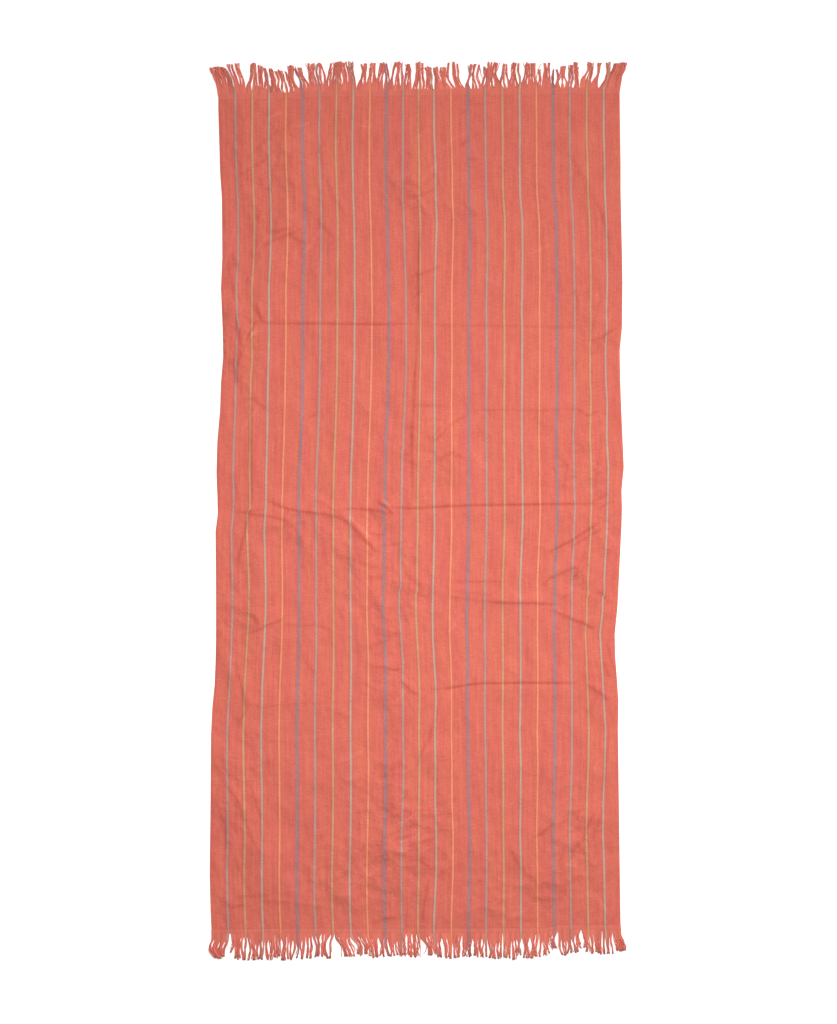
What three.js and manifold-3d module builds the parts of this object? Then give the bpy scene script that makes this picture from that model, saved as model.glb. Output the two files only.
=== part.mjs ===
// Fouta towel, laid out flat with its right side up.
// One length of woven cotton, with a flat-woven heading and a loose fringe at each short end.
// Millimetres, +Z up, +Y along the towel, origin at the centre of the underside.

import * as THREE from 'three';
import { mergeVertices } from 'three/addons/utils/BufferGeometryUtils.js';
import Module from 'manifold-3d';

const wasm = await Module();
wasm.setup();

// Driving sizes
const clothThickness = 2.0; // brushed cotton with a short pile
const headingThickness = 1.4; // the flat weave before the fringe
const headingUnderside = 0.2; // the thinner heading hangs this far off the floor
const seamGap = 0.3; // between the cloth and each heading
const farHeadingWidth = 14;
const nearHeadingWidth = 17;

// How finely the cloth is divided
const rowStep = 40;
const columnStep = 31;
const foldFlanks = [-15, 0, 15]; // extra lines beside and along each long fold
const crossFoldRows = [-388, -206, 10, 414];
const longFoldColumns = [-364, 4, 380];

// How the fringe is made up
const strandPitch = 7.4; // width of heading that feeds one strand
const strandFill = 0.72; // share of its pitch that a strand fills at the root
const strandTipFill = 0.66;
const strandThickness = 0.8;
const strandStart = 3; // how far inside the heading a strand begins
const strandClearance = 0.3; // lowest point of a strand above the floor
const strandLift = 1.6; // most that a strand's middle rises
const cornerThickness = 3.2; // a corner lock is a rolled clump
const rootHold = 1.35; // above 1, a lock keeps its direction near its root
const bendShare = 0.5; // where along its length a strand bends
const bendWidthShare = 0.4; // how far its width has narrowed there
const tipThicknessShare = 0.8;
const tipSteps = 3; // neighbouring tips end up to this far short of each other
const liftRhythm = 2.4; // radians from one strand's lift to the next, so no two neighbours match

// The side edges. Each row is a place along the towel with its left and right edge.
const outline = [
  { along: 900, left: -441, right: 448 },
  { along: 760, left: -437, right: 450 },
  { along: 700, left: -433, right: 450 },
  { along: 570, left: -432, right: 453 },
  { along: 500, left: -435, right: 454 },
  { along: 400, left: -431, right: 453 },
  { along: 350, left: -430, right: 448 },
  { along: 290, left: -435, right: 449 },
  { along: 230, left: -437, right: 451 },
  { along: 160, left: -443, right: 454 },
  { along: 90, left: -445, right: 457 },
  { along: 40, left: -443, right: 452 },
  { along: 0, left: -442, right: 453 },
  { along: -40, left: -447, right: 452 },
  { along: -160, left: -446, right: 446 },
  { along: -220, left: -446, right: 443 },
  { along: -280, left: -446, right: 437 },
  { along: -330, left: -447, right: 438 },
  { along: -380, left: -449, right: 442 },
  { along: -430, left: -454, right: 445 },
  { along: -490, left: -457, right: 444 },
  { along: -640, left: -458, right: 446 },
  { along: -800, left: -460, right: 448 },
  { along: -880, left: -458, right: 449 },
  { along: -926, left: -456, right: 450 },
];

// Where the cloth ends and each heading begins.
const farEnd = [
  { across: -441, along: 912 },
  { across: -259, along: 914 },
  { across: -230, along: 917 },
  { across: -38, along: 920 },
  { across: 317, along: 924 },
  { across: 448, along: 925 },
];
const nearEnd = [
  { across: -456, along: -926 },
  { across: -348, along: -924 },
  { across: 284, along: -923 },
  { across: 310, along: -916 },
  { across: 450, along: -915 },
];

// Soft swells where the cloth stands off the floor.
const swells = [
  { across: -272, along: 730, halfWidth: 42, halfLength: 150, height: 3.6 },
  { across: -120, along: 640, halfWidth: 110, halfLength: 170, height: 2.4 },
  { across: 210, along: 700, halfWidth: 130, halfLength: 140, height: 2.8 },
  { across: 350, along: 560, halfWidth: 60, halfLength: 130, height: 2.2 },
  { across: -300, along: 220, halfWidth: 70, halfLength: 150, height: 3.6 },
  { across: -90, along: 240, halfWidth: 90, halfLength: 110, height: 2.4 },
  { across: 190, along: 310, halfWidth: 120, halfLength: 90, height: 2.6 },
  { across: 260, along: 110, halfWidth: 130, halfLength: 70, height: 3.0 },
  { across: -330, along: -150, halfWidth: 60, halfLength: 90, height: 3.4 },
  { across: -80, along: -210, halfWidth: 100, halfLength: 130, height: 2.6 },
  { across: 200, along: -110, halfWidth: 110, halfLength: 70, height: 2.8 },
  { across: 250, along: -300, halfWidth: 110, halfLength: 70, height: 3.0 },
  { across: -250, along: -560, halfWidth: 130, halfLength: 110, height: 2.8 },
  { across: 150, along: -540, halfWidth: 90, halfLength: 120, height: 2.6 },
  { across: 390, along: -560, halfWidth: 50, halfLength: 110, height: 2.8 },
  { across: -330, along: -800, halfWidth: 50, halfLength: 90, height: 3.2 },
  { across: -30, along: -690, halfWidth: 80, halfLength: 90, height: 2.8 },
  { across: 300, along: -770, halfWidth: 90, halfLength: 90, height: 3.0 },
];
const restDepth = 0.9; // the feet of the swells and folds below this height lie on the floor

// The main folds, each a stretch from one point to another.
// A ridge stands up along its line. A valley is pressed down between two raised shoulders.
const folds = [
  // the fold across the upper quarter
  { kind: 'valley', from: [-356, 418], to: [6, 416], height: 4.6, width: 34 },
  { kind: 'valley', from: [6, 412], to: [374, 410], height: 3.6, width: 34 },
  // short folds to the right, above the middle
  { kind: 'valley', from: [112, 219], to: [250, 218], height: 2.6, width: 26 },
  { kind: 'valley', from: [250, 218], to: [386, 215], height: 3.4, width: 26 },
  { kind: 'ridge', from: [10, 142], to: [108, 209], height: 2.8, width: 13 },
  // the fold across the middle
  { kind: 'valley', from: [-84, 12], to: [110, 9], height: 6.0, width: 36 },
  { kind: 'valley', from: [110, 9], to: [396, 14], height: 5.4, width: 36 },
  { kind: 'ridge', from: [-178, 8], to: [-68, -4], height: 3.6, width: 14 },
  // the fan of folds that leaves the left fold at the middle
  { kind: 'ridge', from: [-356, 24], to: [-256, -2], height: 5.2, width: 16 },
  { kind: 'ridge', from: [-256, -2], to: [-172, -14], height: 5.0, width: 16 },
  { kind: 'ridge', from: [-172, -14], to: [-88, -88], height: 4.4, width: 16 },
  { kind: 'ridge', from: [-244, 26], to: [-170, -4], height: 2.8, width: 12 },
  { kind: 'ridge', from: [-380, -8], to: [-286, -20], height: 3.6, width: 13 },
  { kind: 'ridge', from: [-286, -20], to: [-260, -62], height: 3.2, width: 13 },
  // short slanting folds at the right edge
  { kind: 'ridge', from: [288, -97], to: [412, -24], height: 3.8, width: 14 },
  { kind: 'ridge', from: [284, -158], to: [364, -120], height: 2.8, width: 13 },
  // the fold below the middle, which turns down at its right end
  { kind: 'ridge', from: [10, -178], to: [160, -196], height: 4.0, width: 17 },
  { kind: 'ridge', from: [160, -196], to: [306, -200], height: 5.6, width: 17 },
  { kind: 'ridge', from: [300, -218], to: [394, -260], height: 4.6, width: 15 },
  // short folds at the left edge
  { kind: 'ridge', from: [-382, -270], to: [-310, -252], height: 3.0, width: 13 },
  { kind: 'ridge', from: [-370, -214], to: [-346, -254], height: 2.8, width: 12 },
  // the fold across the lower quarter
  { kind: 'valley', from: [26, -394], to: [140, -382], height: 4.8, width: 34 },
  { kind: 'valley', from: [140, -382], to: [346, -378], height: 4.8, width: 34 },
  { kind: 'valley', from: [-420, -433], to: [-136, -424], height: 2.6, width: 30 },
  { kind: 'ridge', from: [-36, -376], to: [2, -406], height: 3.2, width: 11 },
  { kind: 'ridge', from: [-414, -362], to: [-384, -432], height: 3.0, width: 13 },
  // the long fold down the centre
  { kind: 'valley', from: [17, 900], to: [3, 620], height: 2.4, width: 30 },
  { kind: 'valley', from: [3, 620], to: [2, 423], height: 3.8, width: 30 },
  { kind: 'valley', from: [2, 410], to: [-14, 150], height: 3.8, width: 30 },
  { kind: 'ridge', from: [54, -400], to: [8, -518], height: 4.0, width: 24 },
  { kind: 'ridge', from: [8, -518], to: [-4, -572], height: 3.0, width: 20 },
  { kind: 'valley', from: [40, -777], to: [9, -917], height: 3.0, width: 26 },
  // the long fold near the left edge
  { kind: 'ridge', from: [-378, 480], to: [-350, 420], height: 3.6, width: 15 },
  { kind: 'valley', from: [-358, 410], to: [-368, 200], height: 3.4, width: 28 },
  { kind: 'valley', from: [-368, 200], to: [-370, -10], height: 4.2, width: 28 },
  { kind: 'ridge', from: [-374, -60], to: [-364, -150], height: 3.0, width: 14 },
  { kind: 'ridge', from: [-412, -655], to: [-381, -708], height: 3.2, width: 15 },
  { kind: 'ridge', from: [-381, -708], to: [-350, -775], height: 3.6, width: 15 },
  // slanting folds in the corners
  { kind: 'ridge', from: [-290, 802], to: [-344, 708], height: 2.8, width: 16 },
  { kind: 'ridge', from: [-324, 598], to: [-258, 620], height: 2.8, width: 13 },
  { kind: 'ridge', from: [316, 812], to: [402, 640], height: 3.2, width: 16 },
  { kind: 'ridge', from: [372, -662], to: [306, -806], height: 3.2, width: 17 },
  { kind: 'ridge', from: [206, -740], to: [268, -830], height: 3.0, width: 14 },
  // small gathered folds on the centre fold, above and below
  { kind: 'ridge', from: [-44, 704], to: [60, 716], height: 2.2, width: 12 },
  { kind: 'ridge', from: [-60, -690], to: [34, -672], height: 2.6, width: 11 },
  { kind: 'ridge', from: [-66, -726], to: [26, -712], height: 2.6, width: 11 },
];
const creaseShare = 0.27; // width of a valley's crease, as a share of the valley
const foldTaper = 0.22; // share of a fold's length over which it dies away at each end
const sideFlat = 26; // the side edges lie lower over this width
const sideShare = 0.35; // height that is left of a fold at the side edge
const endFlat = 30; // the cloth lies flat over this length before each heading

// The locks of each fringe, from left to right. A lock's root starts where the one before it stops
// and runs to rootTo. Its tip spans tipFrom to tipTo at tipAlong, and bow shifts its middle sideways.
const farLocks = [
  { rootTo: -423, tipFrom: -459, tipTo: -443, tipAlong: 981, bow: 0 },
  { rootTo: -412, tipFrom: -434, tipTo: -421, tipAlong: 986, bow: 0 },
  { rootTo: -401, tipFrom: -419, tipTo: -412, tipAlong: 989, bow: 0 },
  { rootTo: -379, tipFrom: -405, tipTo: -390, tipAlong: 991, bow: 0 },
  { rootTo: -354, tipFrom: -370, tipTo: -357, tipAlong: 991, bow: 0 },
  { rootTo: -341, tipFrom: -354, tipTo: -343, tipAlong: 987, bow: 0 },
  { rootTo: -323, tipFrom: -340, tipTo: -336, tipAlong: 979, bow: 3 },
  { rootTo: -303, tipFrom: -328, tipTo: -321, tipAlong: 979, bow: 4 },
  { rootTo: -279, tipFrom: -316, tipTo: -290, tipAlong: 977, bow: 6 },
  { rootTo: -259, tipFrom: -286, tipTo: -275, tipAlong: 986, bow: 2 },
  { rootTo: -237, tipFrom: -272, tipTo: -255, tipAlong: 981, bow: 2 },
  { rootTo: -219, tipFrom: -241, tipTo: -230, tipAlong: 991, bow: 0 },
  { rootTo: -202, tipFrom: -222, tipTo: -215, tipAlong: 991, bow: 0 },
  { rootTo: -192, tipFrom: -192, tipTo: -187, tipAlong: 991, bow: -2 },
  { rootTo: -159, tipFrom: -183, tipTo: -164, tipAlong: 995, bow: 0 },
  { rootTo: -135, tipFrom: -162, tipTo: -144, tipAlong: 996, bow: 0 },
  { rootTo: -113, tipFrom: -124, tipTo: -113, tipAlong: 991, bow: 0 },
  { rootTo: -89, tipFrom: -106, tipTo: -93, tipAlong: 991, bow: 0 },
  { rootTo: -60, tipFrom: -82, tipTo: -69, tipAlong: 993, bow: 0 },
  { rootTo: -31, tipFrom: -49, tipTo: -33, tipAlong: 995, bow: 0 },
  { rootTo: -13, tipFrom: -24, tipTo: -18, tipAlong: 990, bow: 0 },
  { rootTo: 16, tipFrom: -4, tipTo: 11, tipAlong: 996, bow: 0 },
  { rootTo: 38, tipFrom: 16, tipTo: 31, tipAlong: 983, bow: 0 },
  { rootTo: 62, tipFrom: 35, tipTo: 51, tipAlong: 982, bow: 0 },
  { rootTo: 78, tipFrom: 53, tipTo: 60, tipAlong: 983, bow: 0 },
  { rootTo: 106, tipFrom: 69, tipTo: 89, tipAlong: 993, bow: 0 },
  { rootTo: 140, tipFrom: 115, tipTo: 137, tipAlong: 989, bow: -3 },
  { rootTo: 155, tipFrom: 146, tipTo: 151, tipAlong: 983, bow: 0 },
  { rootTo: 171, tipFrom: 158, tipTo: 165, tipAlong: 995, bow: -2 },
  { rootTo: 186, tipFrom: 169, tipTo: 176, tipAlong: 995, bow: -3 },
  { rootTo: 204, tipFrom: 188, tipTo: 199, tipAlong: 990, bow: -3 },
  { rootTo: 230, tipFrom: 208, tipTo: 224, tipAlong: 992, bow: 0 },
  { rootTo: 250, tipFrom: 239, tipTo: 248, tipAlong: 991, bow: 0 },
  { rootTo: 266, tipFrom: 253, tipTo: 261, tipAlong: 991, bow: 0 },
  { rootTo: 275, tipFrom: 266, tipTo: 272, tipAlong: 977, bow: 0 },
  { rootTo: 297, tipFrom: 279, tipTo: 292, tipAlong: 992, bow: 0 },
  { rootTo: 312, tipFrom: 299, tipTo: 308, tipAlong: 977, bow: 0 },
  { rootTo: 330, tipFrom: 317, tipTo: 330, tipAlong: 986, bow: -3 },
  { rootTo: 343, tipFrom: 333, tipTo: 341, tipAlong: 988, bow: 2 },
  { rootTo: 359, tipFrom: 348, tipTo: 355, tipAlong: 995, bow: 2 },
  { rootTo: 383, tipFrom: 377, tipTo: 390, tipAlong: 995, bow: 0 },
  { rootTo: 399, tipFrom: 399, tipTo: 406, tipAlong: 992, bow: 0 },
  { rootTo: 414, tipFrom: 419, tipTo: 426, tipAlong: 995, bow: 0 },
  { rootTo: 448, tipFrom: 434, tipTo: 463, tipAlong: 992, bow: 3 },
];
const nearLocks = [
  { rootTo: -423, tipFrom: -456, tipTo: -432, tipAlong: -988, bow: -7 },
  { rootTo: -408, tipFrom: -427, tipTo: -412, tipAlong: -981, bow: 0 },
  { rootTo: -390, tipFrom: -405, tipTo: -394, tipAlong: -992, bow: 0 },
  { rootTo: -377, tipFrom: -388, tipTo: -379, tipAlong: -997, bow: 0 },
  { rootTo: -365, tipFrom: -374, tipTo: -365, tipAlong: -995, bow: 0 },
  { rootTo: -350, tipFrom: -362, tipTo: -352, tipAlong: -997, bow: 0 },
  { rootTo: -337, tipFrom: -350, tipTo: -341, tipAlong: -997, bow: 0 },
  { rootTo: -321, tipFrom: -332, tipTo: -323, tipAlong: -995, bow: 0 },
  { rootTo: -303, tipFrom: -317, tipTo: -306, tipAlong: -988, bow: 0 },
  { rootTo: -288, tipFrom: -301, tipTo: -290, tipAlong: -995, bow: 0 },
  { rootTo: -270, tipFrom: -286, tipTo: -277, tipAlong: -995, bow: 0 },
  { rootTo: -248, tipFrom: -268, tipTo: -253, tipAlong: -992, bow: 0 },
  { rootTo: -233, tipFrom: -242, tipTo: -235, tipAlong: -990, bow: 0 },
  { rootTo: -219, tipFrom: -231, tipTo: -222, tipAlong: -988, bow: 0 },
  { rootTo: -199, tipFrom: -217, tipTo: -204, tipAlong: -986, bow: 0 },
  { rootTo: -184, tipFrom: -199, tipTo: -188, tipAlong: -992, bow: 0 },
  { rootTo: -168, tipFrom: -163, tipTo: -154, tipAlong: -986, bow: 0 },
  { rootTo: -151, tipFrom: -151, tipTo: -142, tipAlong: -986, bow: 0 },
  { rootTo: -120, tipFrom: -133, tipTo: -113, tipAlong: -981, bow: 4 },
  { rootTo: -82, tipFrom: -102, tipTo: -84, tipAlong: -988, bow: 0 },
  { rootTo: -66, tipFrom: -75, tipTo: -64, tipAlong: -986, bow: 0 },
  { rootTo: -51, tipFrom: -60, tipTo: -51, tipAlong: -986, bow: 0 },
  { rootTo: -33, tipFrom: -44, tipTo: -33, tipAlong: -986, bow: 0 },
  { rootTo: -18, tipFrom: -28, tipTo: -20, tipAlong: -983, bow: 0 },
  { rootTo: 4, tipFrom: -16, tipTo: 0, tipAlong: -988, bow: 0 },
  { rootTo: 33, tipFrom: 27, tipTo: 42, tipAlong: -983, bow: 0 },
  { rootTo: 53, tipFrom: 44, tipTo: 58, tipAlong: -988, bow: 0 },
  { rootTo: 71, tipFrom: 61, tipTo: 70, tipAlong: -988, bow: 0 },
  { rootTo: 86, tipFrom: 73, tipTo: 84, tipAlong: -992, bow: 0 },
  { rootTo: 104, tipFrom: 89, tipTo: 102, tipAlong: -988, bow: 0 },
  { rootTo: 122, tipFrom: 106, tipTo: 120, tipAlong: -986, bow: 0 },
  { rootTo: 144, tipFrom: 124, tipTo: 140, tipAlong: -986, bow: 0 },
  { rootTo: 155, tipFrom: 144, tipTo: 152, tipAlong: -988, bow: 0 },
  { rootTo: 168, tipFrom: 159, tipTo: 170, tipAlong: -990, bow: 0 },
  { rootTo: 182, tipFrom: 172, tipTo: 182, tipAlong: -992, bow: 0 },
  { rootTo: 195, tipFrom: 185, tipTo: 196, tipAlong: -988, bow: 0 },
  { rootTo: 208, tipFrom: 199, tipTo: 208, tipAlong: -990, bow: 0 },
  { rootTo: 219, tipFrom: 211, tipTo: 219, tipAlong: -995, bow: 0 },
  { rootTo: 230, tipFrom: 222, tipTo: 229, tipAlong: -983, bow: 0 },
  { rootTo: 241, tipFrom: 235, tipTo: 244, tipAlong: -990, bow: 0 },
  { rootTo: 257, tipFrom: 247, tipTo: 256, tipAlong: -990, bow: 0 },
  { rootTo: 275, tipFrom: 259, tipTo: 271, tipAlong: -988, bow: 0 },
  { rootTo: 292, tipFrom: 282, tipTo: 292, tipAlong: -983, bow: 0 },
  { rootTo: 312, tipFrom: 296, tipTo: 304, tipAlong: -968, bow: 0 },
  { rootTo: 330, tipFrom: 320, tipTo: 330, tipAlong: -983, bow: 0 },
  { rootTo: 341, tipFrom: 332, tipTo: 338, tipAlong: -979, bow: 0 },
  { rootTo: 357, tipFrom: 348, tipTo: 357, tipAlong: -979, bow: 0 },
  { rootTo: 368, tipFrom: 361, tipTo: 368, tipAlong: -968, bow: 0 },
  { rootTo: 381, tipFrom: 372, tipTo: 383, tipAlong: -975, bow: 0 },
  { rootTo: 396, tipFrom: 386, tipTo: 397, tipAlong: -979, bow: 0 },
  { rootTo: 421, tipFrom: 400, tipTo: 420, tipAlong: -981, bow: 0 },
  { rootTo: 436, tipFrom: 427, tipTo: 436, tipAlong: -981, bow: 0 },
  { rootTo: 450, tipFrom: 445, tipTo: 463, tipAlong: -972, bow: 0 },
];

const mix = THREE.MathUtils.lerp;

// A value from a table whose rows are sorted by their key, straight between two rows.
function readTable(rows, key, column, at) {
  const rising = rows[0][key] < rows[rows.length - 1][key];
  const sorted = rising ? rows : [...rows].reverse();
  const next = sorted.findIndex((row) => row[key] > at);
  if (next === 0) return sorted[0][column];
  if (next < 0) return sorted[sorted.length - 1][column];
  const before = sorted[next - 1];
  const after = sorted[next];
  const share = (at - before[key]) / (after[key] - before[key]);
  return mix(before[column], after[column], share);
}

// Even lines from one end to the other, with close lines at each fold in place of the nearest ones.
function gridLines(from, to, step, folded) {
  const close = folded.flatMap((middle) => foldFlanks.map((flank) => middle + flank));
  const count = Math.round((to - from) / step);
  const even = Array.from({ length: count + 1 }, (_, index) => mix(from, to, index / count));
  const clear = even.filter((line, index) => {
    const atEnd = index === 0 || index === count;
    return atEnd || close.every((other) => Math.abs(other - line) > step / 3);
  });
  return [...clear, ...close].sort((first, second) => first - second);
}

// A ridge or valley's height at a point, dying away towards the ends of its line.
function foldHeight(fold, x, y) {
  const [fromX, fromY] = fold.from;
  const [toX, toY] = fold.to;
  const length = Math.hypot(toX - fromX, toY - fromY);
  const alongX = (toX - fromX) / length;
  const alongY = (toY - fromY) / length;
  const along = (x - fromX) * alongX + (y - fromY) * alongY;
  const across = (y - fromY) * alongX - (x - fromX) * alongY;
  const reach = length * foldTaper;
  const inside = THREE.MathUtils.smoothstep(along, -reach / 2, reach);
  const outside = THREE.MathUtils.smoothstep(length - along, -reach / 2, reach);
  const spread = Math.exp(-((across / fold.width) ** 2));
  const crease = fold.kind === 'valley' ? Math.exp(-((across / (fold.width * creaseShare)) ** 2)) : 0;
  return fold.height * inside * outside * (spread - crease);
}

// How far the cloth's underside stands off the floor. Most of it rests flat.
function clothLift(x, y) {
  let height = -restDepth;
  for (const swell of swells) {
    const offX = (x - swell.across) / swell.halfWidth;
    const offY = (y - swell.along) / swell.halfLength;
    height += swell.height * Math.exp(-offX * offX - offY * offY);
  }
  for (const fold of folds) height += foldHeight(fold, x, y);
  const fromFar = readTable(farEnd, 'across', 'along', x) - y;
  const fromNear = y - readTable(nearEnd, 'across', 'along', x);
  const fromLeft = x - readTable(outline, 'along', 'left', y);
  const fromRight = readTable(outline, 'along', 'right', y) - x;
  const fromSide = Math.min(fromLeft, fromRight);
  const endShare = THREE.MathUtils.smoothstep(Math.min(fromFar, fromNear), 0, endFlat);
  const edgeShare = mix(sideShare, 1, THREE.MathUtils.smoothstep(fromSide, 0, sideFlat));
  return Math.max(0, height) * endShare * edgeShare;
}

// A box of columns by rows whose corners are moved by a function of their place in it.
// Across and along run from line to line, and top is 0 on the underside and 1 on the upper side.
function shapedBox(columns, rows, place) {
  const box = new THREE.BoxGeometry(1, 1, 1, columns, rows, 1);
  box.deleteAttribute('normal');
  box.deleteAttribute('uv');
  const shaped = mergeVertices(box);
  const points = shaped.attributes.position;
  for (let index = 0; index < points.count; index += 1) {
    const column = Math.round((points.getX(index) + 0.5) * columns);
    const row = Math.round((points.getY(index) + 0.5) * rows);
    const top = Math.round(points.getZ(index) + 0.5);
    points.setXYZ(index, ...place(column, row, top));
  }
  return shaped;
}

// The cloth between the two headings.
function panelShape() {
  const nearest = readTable(nearEnd, 'across', 'along', 0);
  const farthest = readTable(farEnd, 'across', 'along', 0);
  const rowLines = gridLines(nearest, farthest, rowStep, crossFoldRows);
  const widest = { left: outline.at(-1).left, right: outline.at(-1).right };
  const columnLines = gridLines(widest.left, widest.right, columnStep, longFoldColumns);
  return shapedBox(columnLines.length - 1, rowLines.length - 1, (column, row, top) => {
    const across = (columnLines[column] - widest.left) / (widest.right - widest.left);
    const along = rowLines[row];
    const left = readTable(outline, 'along', 'left', along);
    const right = readTable(outline, 'along', 'right', along);
    const x = mix(left, right, across);
    const share = (along - nearest) / (farthest - nearest);
    const nearShift = readTable(nearEnd, 'across', 'along', x) - nearest;
    const farShift = readTable(farEnd, 'across', 'along', x) - farthest;
    const y = along + mix(nearShift, farShift, share);
    return [x, y, clothLift(x, y) + top * clothThickness];
  });
}

// The heading: a narrow flat strip that follows the end of the cloth.
function headingShape(end, outward, width, left, right) {
  const columns = Math.round((right - left) / columnStep);
  return shapedBox(columns, 1, (column, row, top) => {
    const x = mix(left, right, column / columns);
    const inner = readTable(end, 'across', 'along', x) + outward * seamGap;
    const outer = inner + outward * width;
    const y = outward > 0 ? mix(inner, outer, row) : mix(outer, inner, row);
    return [x, y, headingUnderside + top * headingThickness];
  });
}

// One strand of a lock, four-sided, with a bend in its middle.
function strandShape(root, tip, bow, thickness, lift) {
  const rootHeight = headingUnderside + (headingThickness - strandThickness) / 2;
  const levels = [
    { ...root, low: rootHeight, deep: strandThickness },
    {
      along: mix(root.along, tip.along, bendShare),
      middle: mix(root.middle, tip.middle, bendShare ** rootHold) + bow,
      width: mix(root.width, tip.width, bendWidthShare),
      low: strandClearance + lift,
      deep: thickness,
    },
    { ...tip, low: strandClearance, deep: thickness * tipThicknessShare },
  ];
  const outward = Math.sign(tip.along - root.along);
  return shapedBox(1, 2, (column, row, top) => {
    const level = levels[outward > 0 ? row : 2 - row];
    return [level.middle + (column - 0.5) * level.width, level.along, level.low + top * level.deep];
  });
}

function toSolid(shape) {
  const vertProperties = new Float32Array(shape.attributes.position.array);
  const triVerts = new Uint32Array(shape.index.array);
  return new wasm.Manifold(new wasm.Mesh({ numProp: 3, vertProperties, triVerts }));
}

function toGeometry(solid) {
  const mesh = solid.getMesh();
  const shape = new THREE.BufferGeometry();
  shape.setAttribute('position', new THREE.BufferAttribute(new Float32Array(mesh.vertProperties), 3));
  shape.setIndex(new THREE.BufferAttribute(new Uint32Array(mesh.triVerts), 1));
  return shape;
}

// A heading with all of its strands fused to it at their roots.
function fringeShape(end, outward, width, locks) {
  const left = end[0].across;
  const right = end.at(-1).across;
  let fringe = toSolid(headingShape(end, outward, width, left, right));
  let rootFrom = left;
  let strandNumber = 0;
  locks.forEach((lock, lockNumber) => {
    const isCorner = lockNumber === 0 || lockNumber === locks.length - 1;
    const rootSpan = lock.rootTo - rootFrom;
    const strands = isCorner ? 1 : Math.max(1, Math.round(rootSpan / strandPitch));
    for (let strand = 0; strand < strands; strand += 1) {
      const share = (strand + 0.5) / strands;
      const rootMiddle = rootFrom + rootSpan * share;
      const rootEdge = readTable(end, 'across', 'along', rootMiddle) + outward * (seamGap + width);
      const root = {
        middle: rootMiddle,
        width: (rootSpan / strands) * strandFill,
        along: rootEdge - outward * strandStart,
      };
      const tip = {
        middle: mix(lock.tipFrom, lock.tipTo, share),
        width: ((lock.tipTo - lock.tipFrom) / strands) * (isCorner ? 1 : strandTipFill),
        along: lock.tipAlong - outward * (strandNumber % tipSteps),
      };
      const lift = (strandLift * (1 + Math.sin(strandNumber * liftRhythm))) / 2;
      const thickness = isCorner ? cornerThickness : strandThickness;
      fringe = fringe.add(toSolid(strandShape(root, tip, lock.bow, thickness, lift)));
      strandNumber += 1;
    }
    rootFrom = lock.rootTo;
  });
  return toGeometry(fringe);
}

const clothMaterial = new THREE.MeshStandardMaterial({ color: 0xdd6552, roughness: 0.95, metalness: 0 });
const fringeMaterial = new THREE.MeshStandardMaterial({ color: 0xd45f50, roughness: 0.95, metalness: 0 });

function namedPiece(name, shape, material) {
  shape.computeVertexNormals();
  const piece = new THREE.Mesh(shape, material);
  piece.name = name;
  return piece;
}

const towel = new THREE.Group();
towel.add(namedPiece('panel', panelShape(), clothMaterial));
towel.add(namedPiece('fringe_far', fringeShape(farEnd, 1, farHeadingWidth, farLocks), fringeMaterial));
towel.add(namedPiece('fringe_near', fringeShape(nearEnd, -1, nearHeadingWidth, nearLocks), fringeMaterial));

const bounds = new THREE.Box3().setFromObject(towel);
towel.position.set(-(bounds.min.x + bounds.max.x) / 2, -(bounds.min.y + bounds.max.y) / 2, -bounds.min.z);

export default towel;
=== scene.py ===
# %% [markdown]
# # A fouta towel, laid out flat
# A fouta is one length of woven cotton. This one is coral, with thin coloured stripes along its
# whole length, a brushed nap, a narrow flat-woven heading and a loose fringe at both short ends.
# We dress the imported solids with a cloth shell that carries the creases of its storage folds,
# two headings, and two fringes of single yarns.

# %% Load the frame
import math
from collections import namedtuple
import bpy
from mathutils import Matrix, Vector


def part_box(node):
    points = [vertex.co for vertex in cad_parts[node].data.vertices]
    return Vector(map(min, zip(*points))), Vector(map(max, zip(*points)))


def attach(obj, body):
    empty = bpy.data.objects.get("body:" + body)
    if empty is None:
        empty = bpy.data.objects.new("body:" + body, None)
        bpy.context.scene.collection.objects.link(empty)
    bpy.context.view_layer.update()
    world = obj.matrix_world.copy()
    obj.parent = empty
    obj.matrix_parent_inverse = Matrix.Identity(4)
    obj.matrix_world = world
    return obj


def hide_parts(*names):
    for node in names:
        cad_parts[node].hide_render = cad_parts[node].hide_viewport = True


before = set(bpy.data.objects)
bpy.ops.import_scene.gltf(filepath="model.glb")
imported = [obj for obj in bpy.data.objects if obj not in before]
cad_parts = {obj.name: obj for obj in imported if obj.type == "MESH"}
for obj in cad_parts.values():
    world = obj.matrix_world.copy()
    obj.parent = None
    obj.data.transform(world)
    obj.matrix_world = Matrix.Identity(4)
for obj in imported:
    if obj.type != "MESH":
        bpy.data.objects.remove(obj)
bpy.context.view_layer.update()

from types import SimpleNamespace

import bmesh
import bpy
import numpy as np

# %% [markdown]
# The tables below are in millimetres, from the middle of the towel, because a maker would
# measure it so. `MM` turns them into Blender's metres. The frame's origin is the middle of the
# whole box, fringe included, so the panel's own box gives the small shift between the two.

# %% Measures
MM = 0.001
CLOTH_THICKNESS = 2.0
HEADING_THICKNESS = 1.4
HEADING_UNDERSIDE = 0.2
SEAM_GAP = 0.3
FAR_HEADING_WIDTH = 13
NEAR_HEADING_WIDTH = 10
BAYS = 24  # spaces between the stripes, counting the two beside the edges
BAY_WIDTH = 37.4

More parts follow.
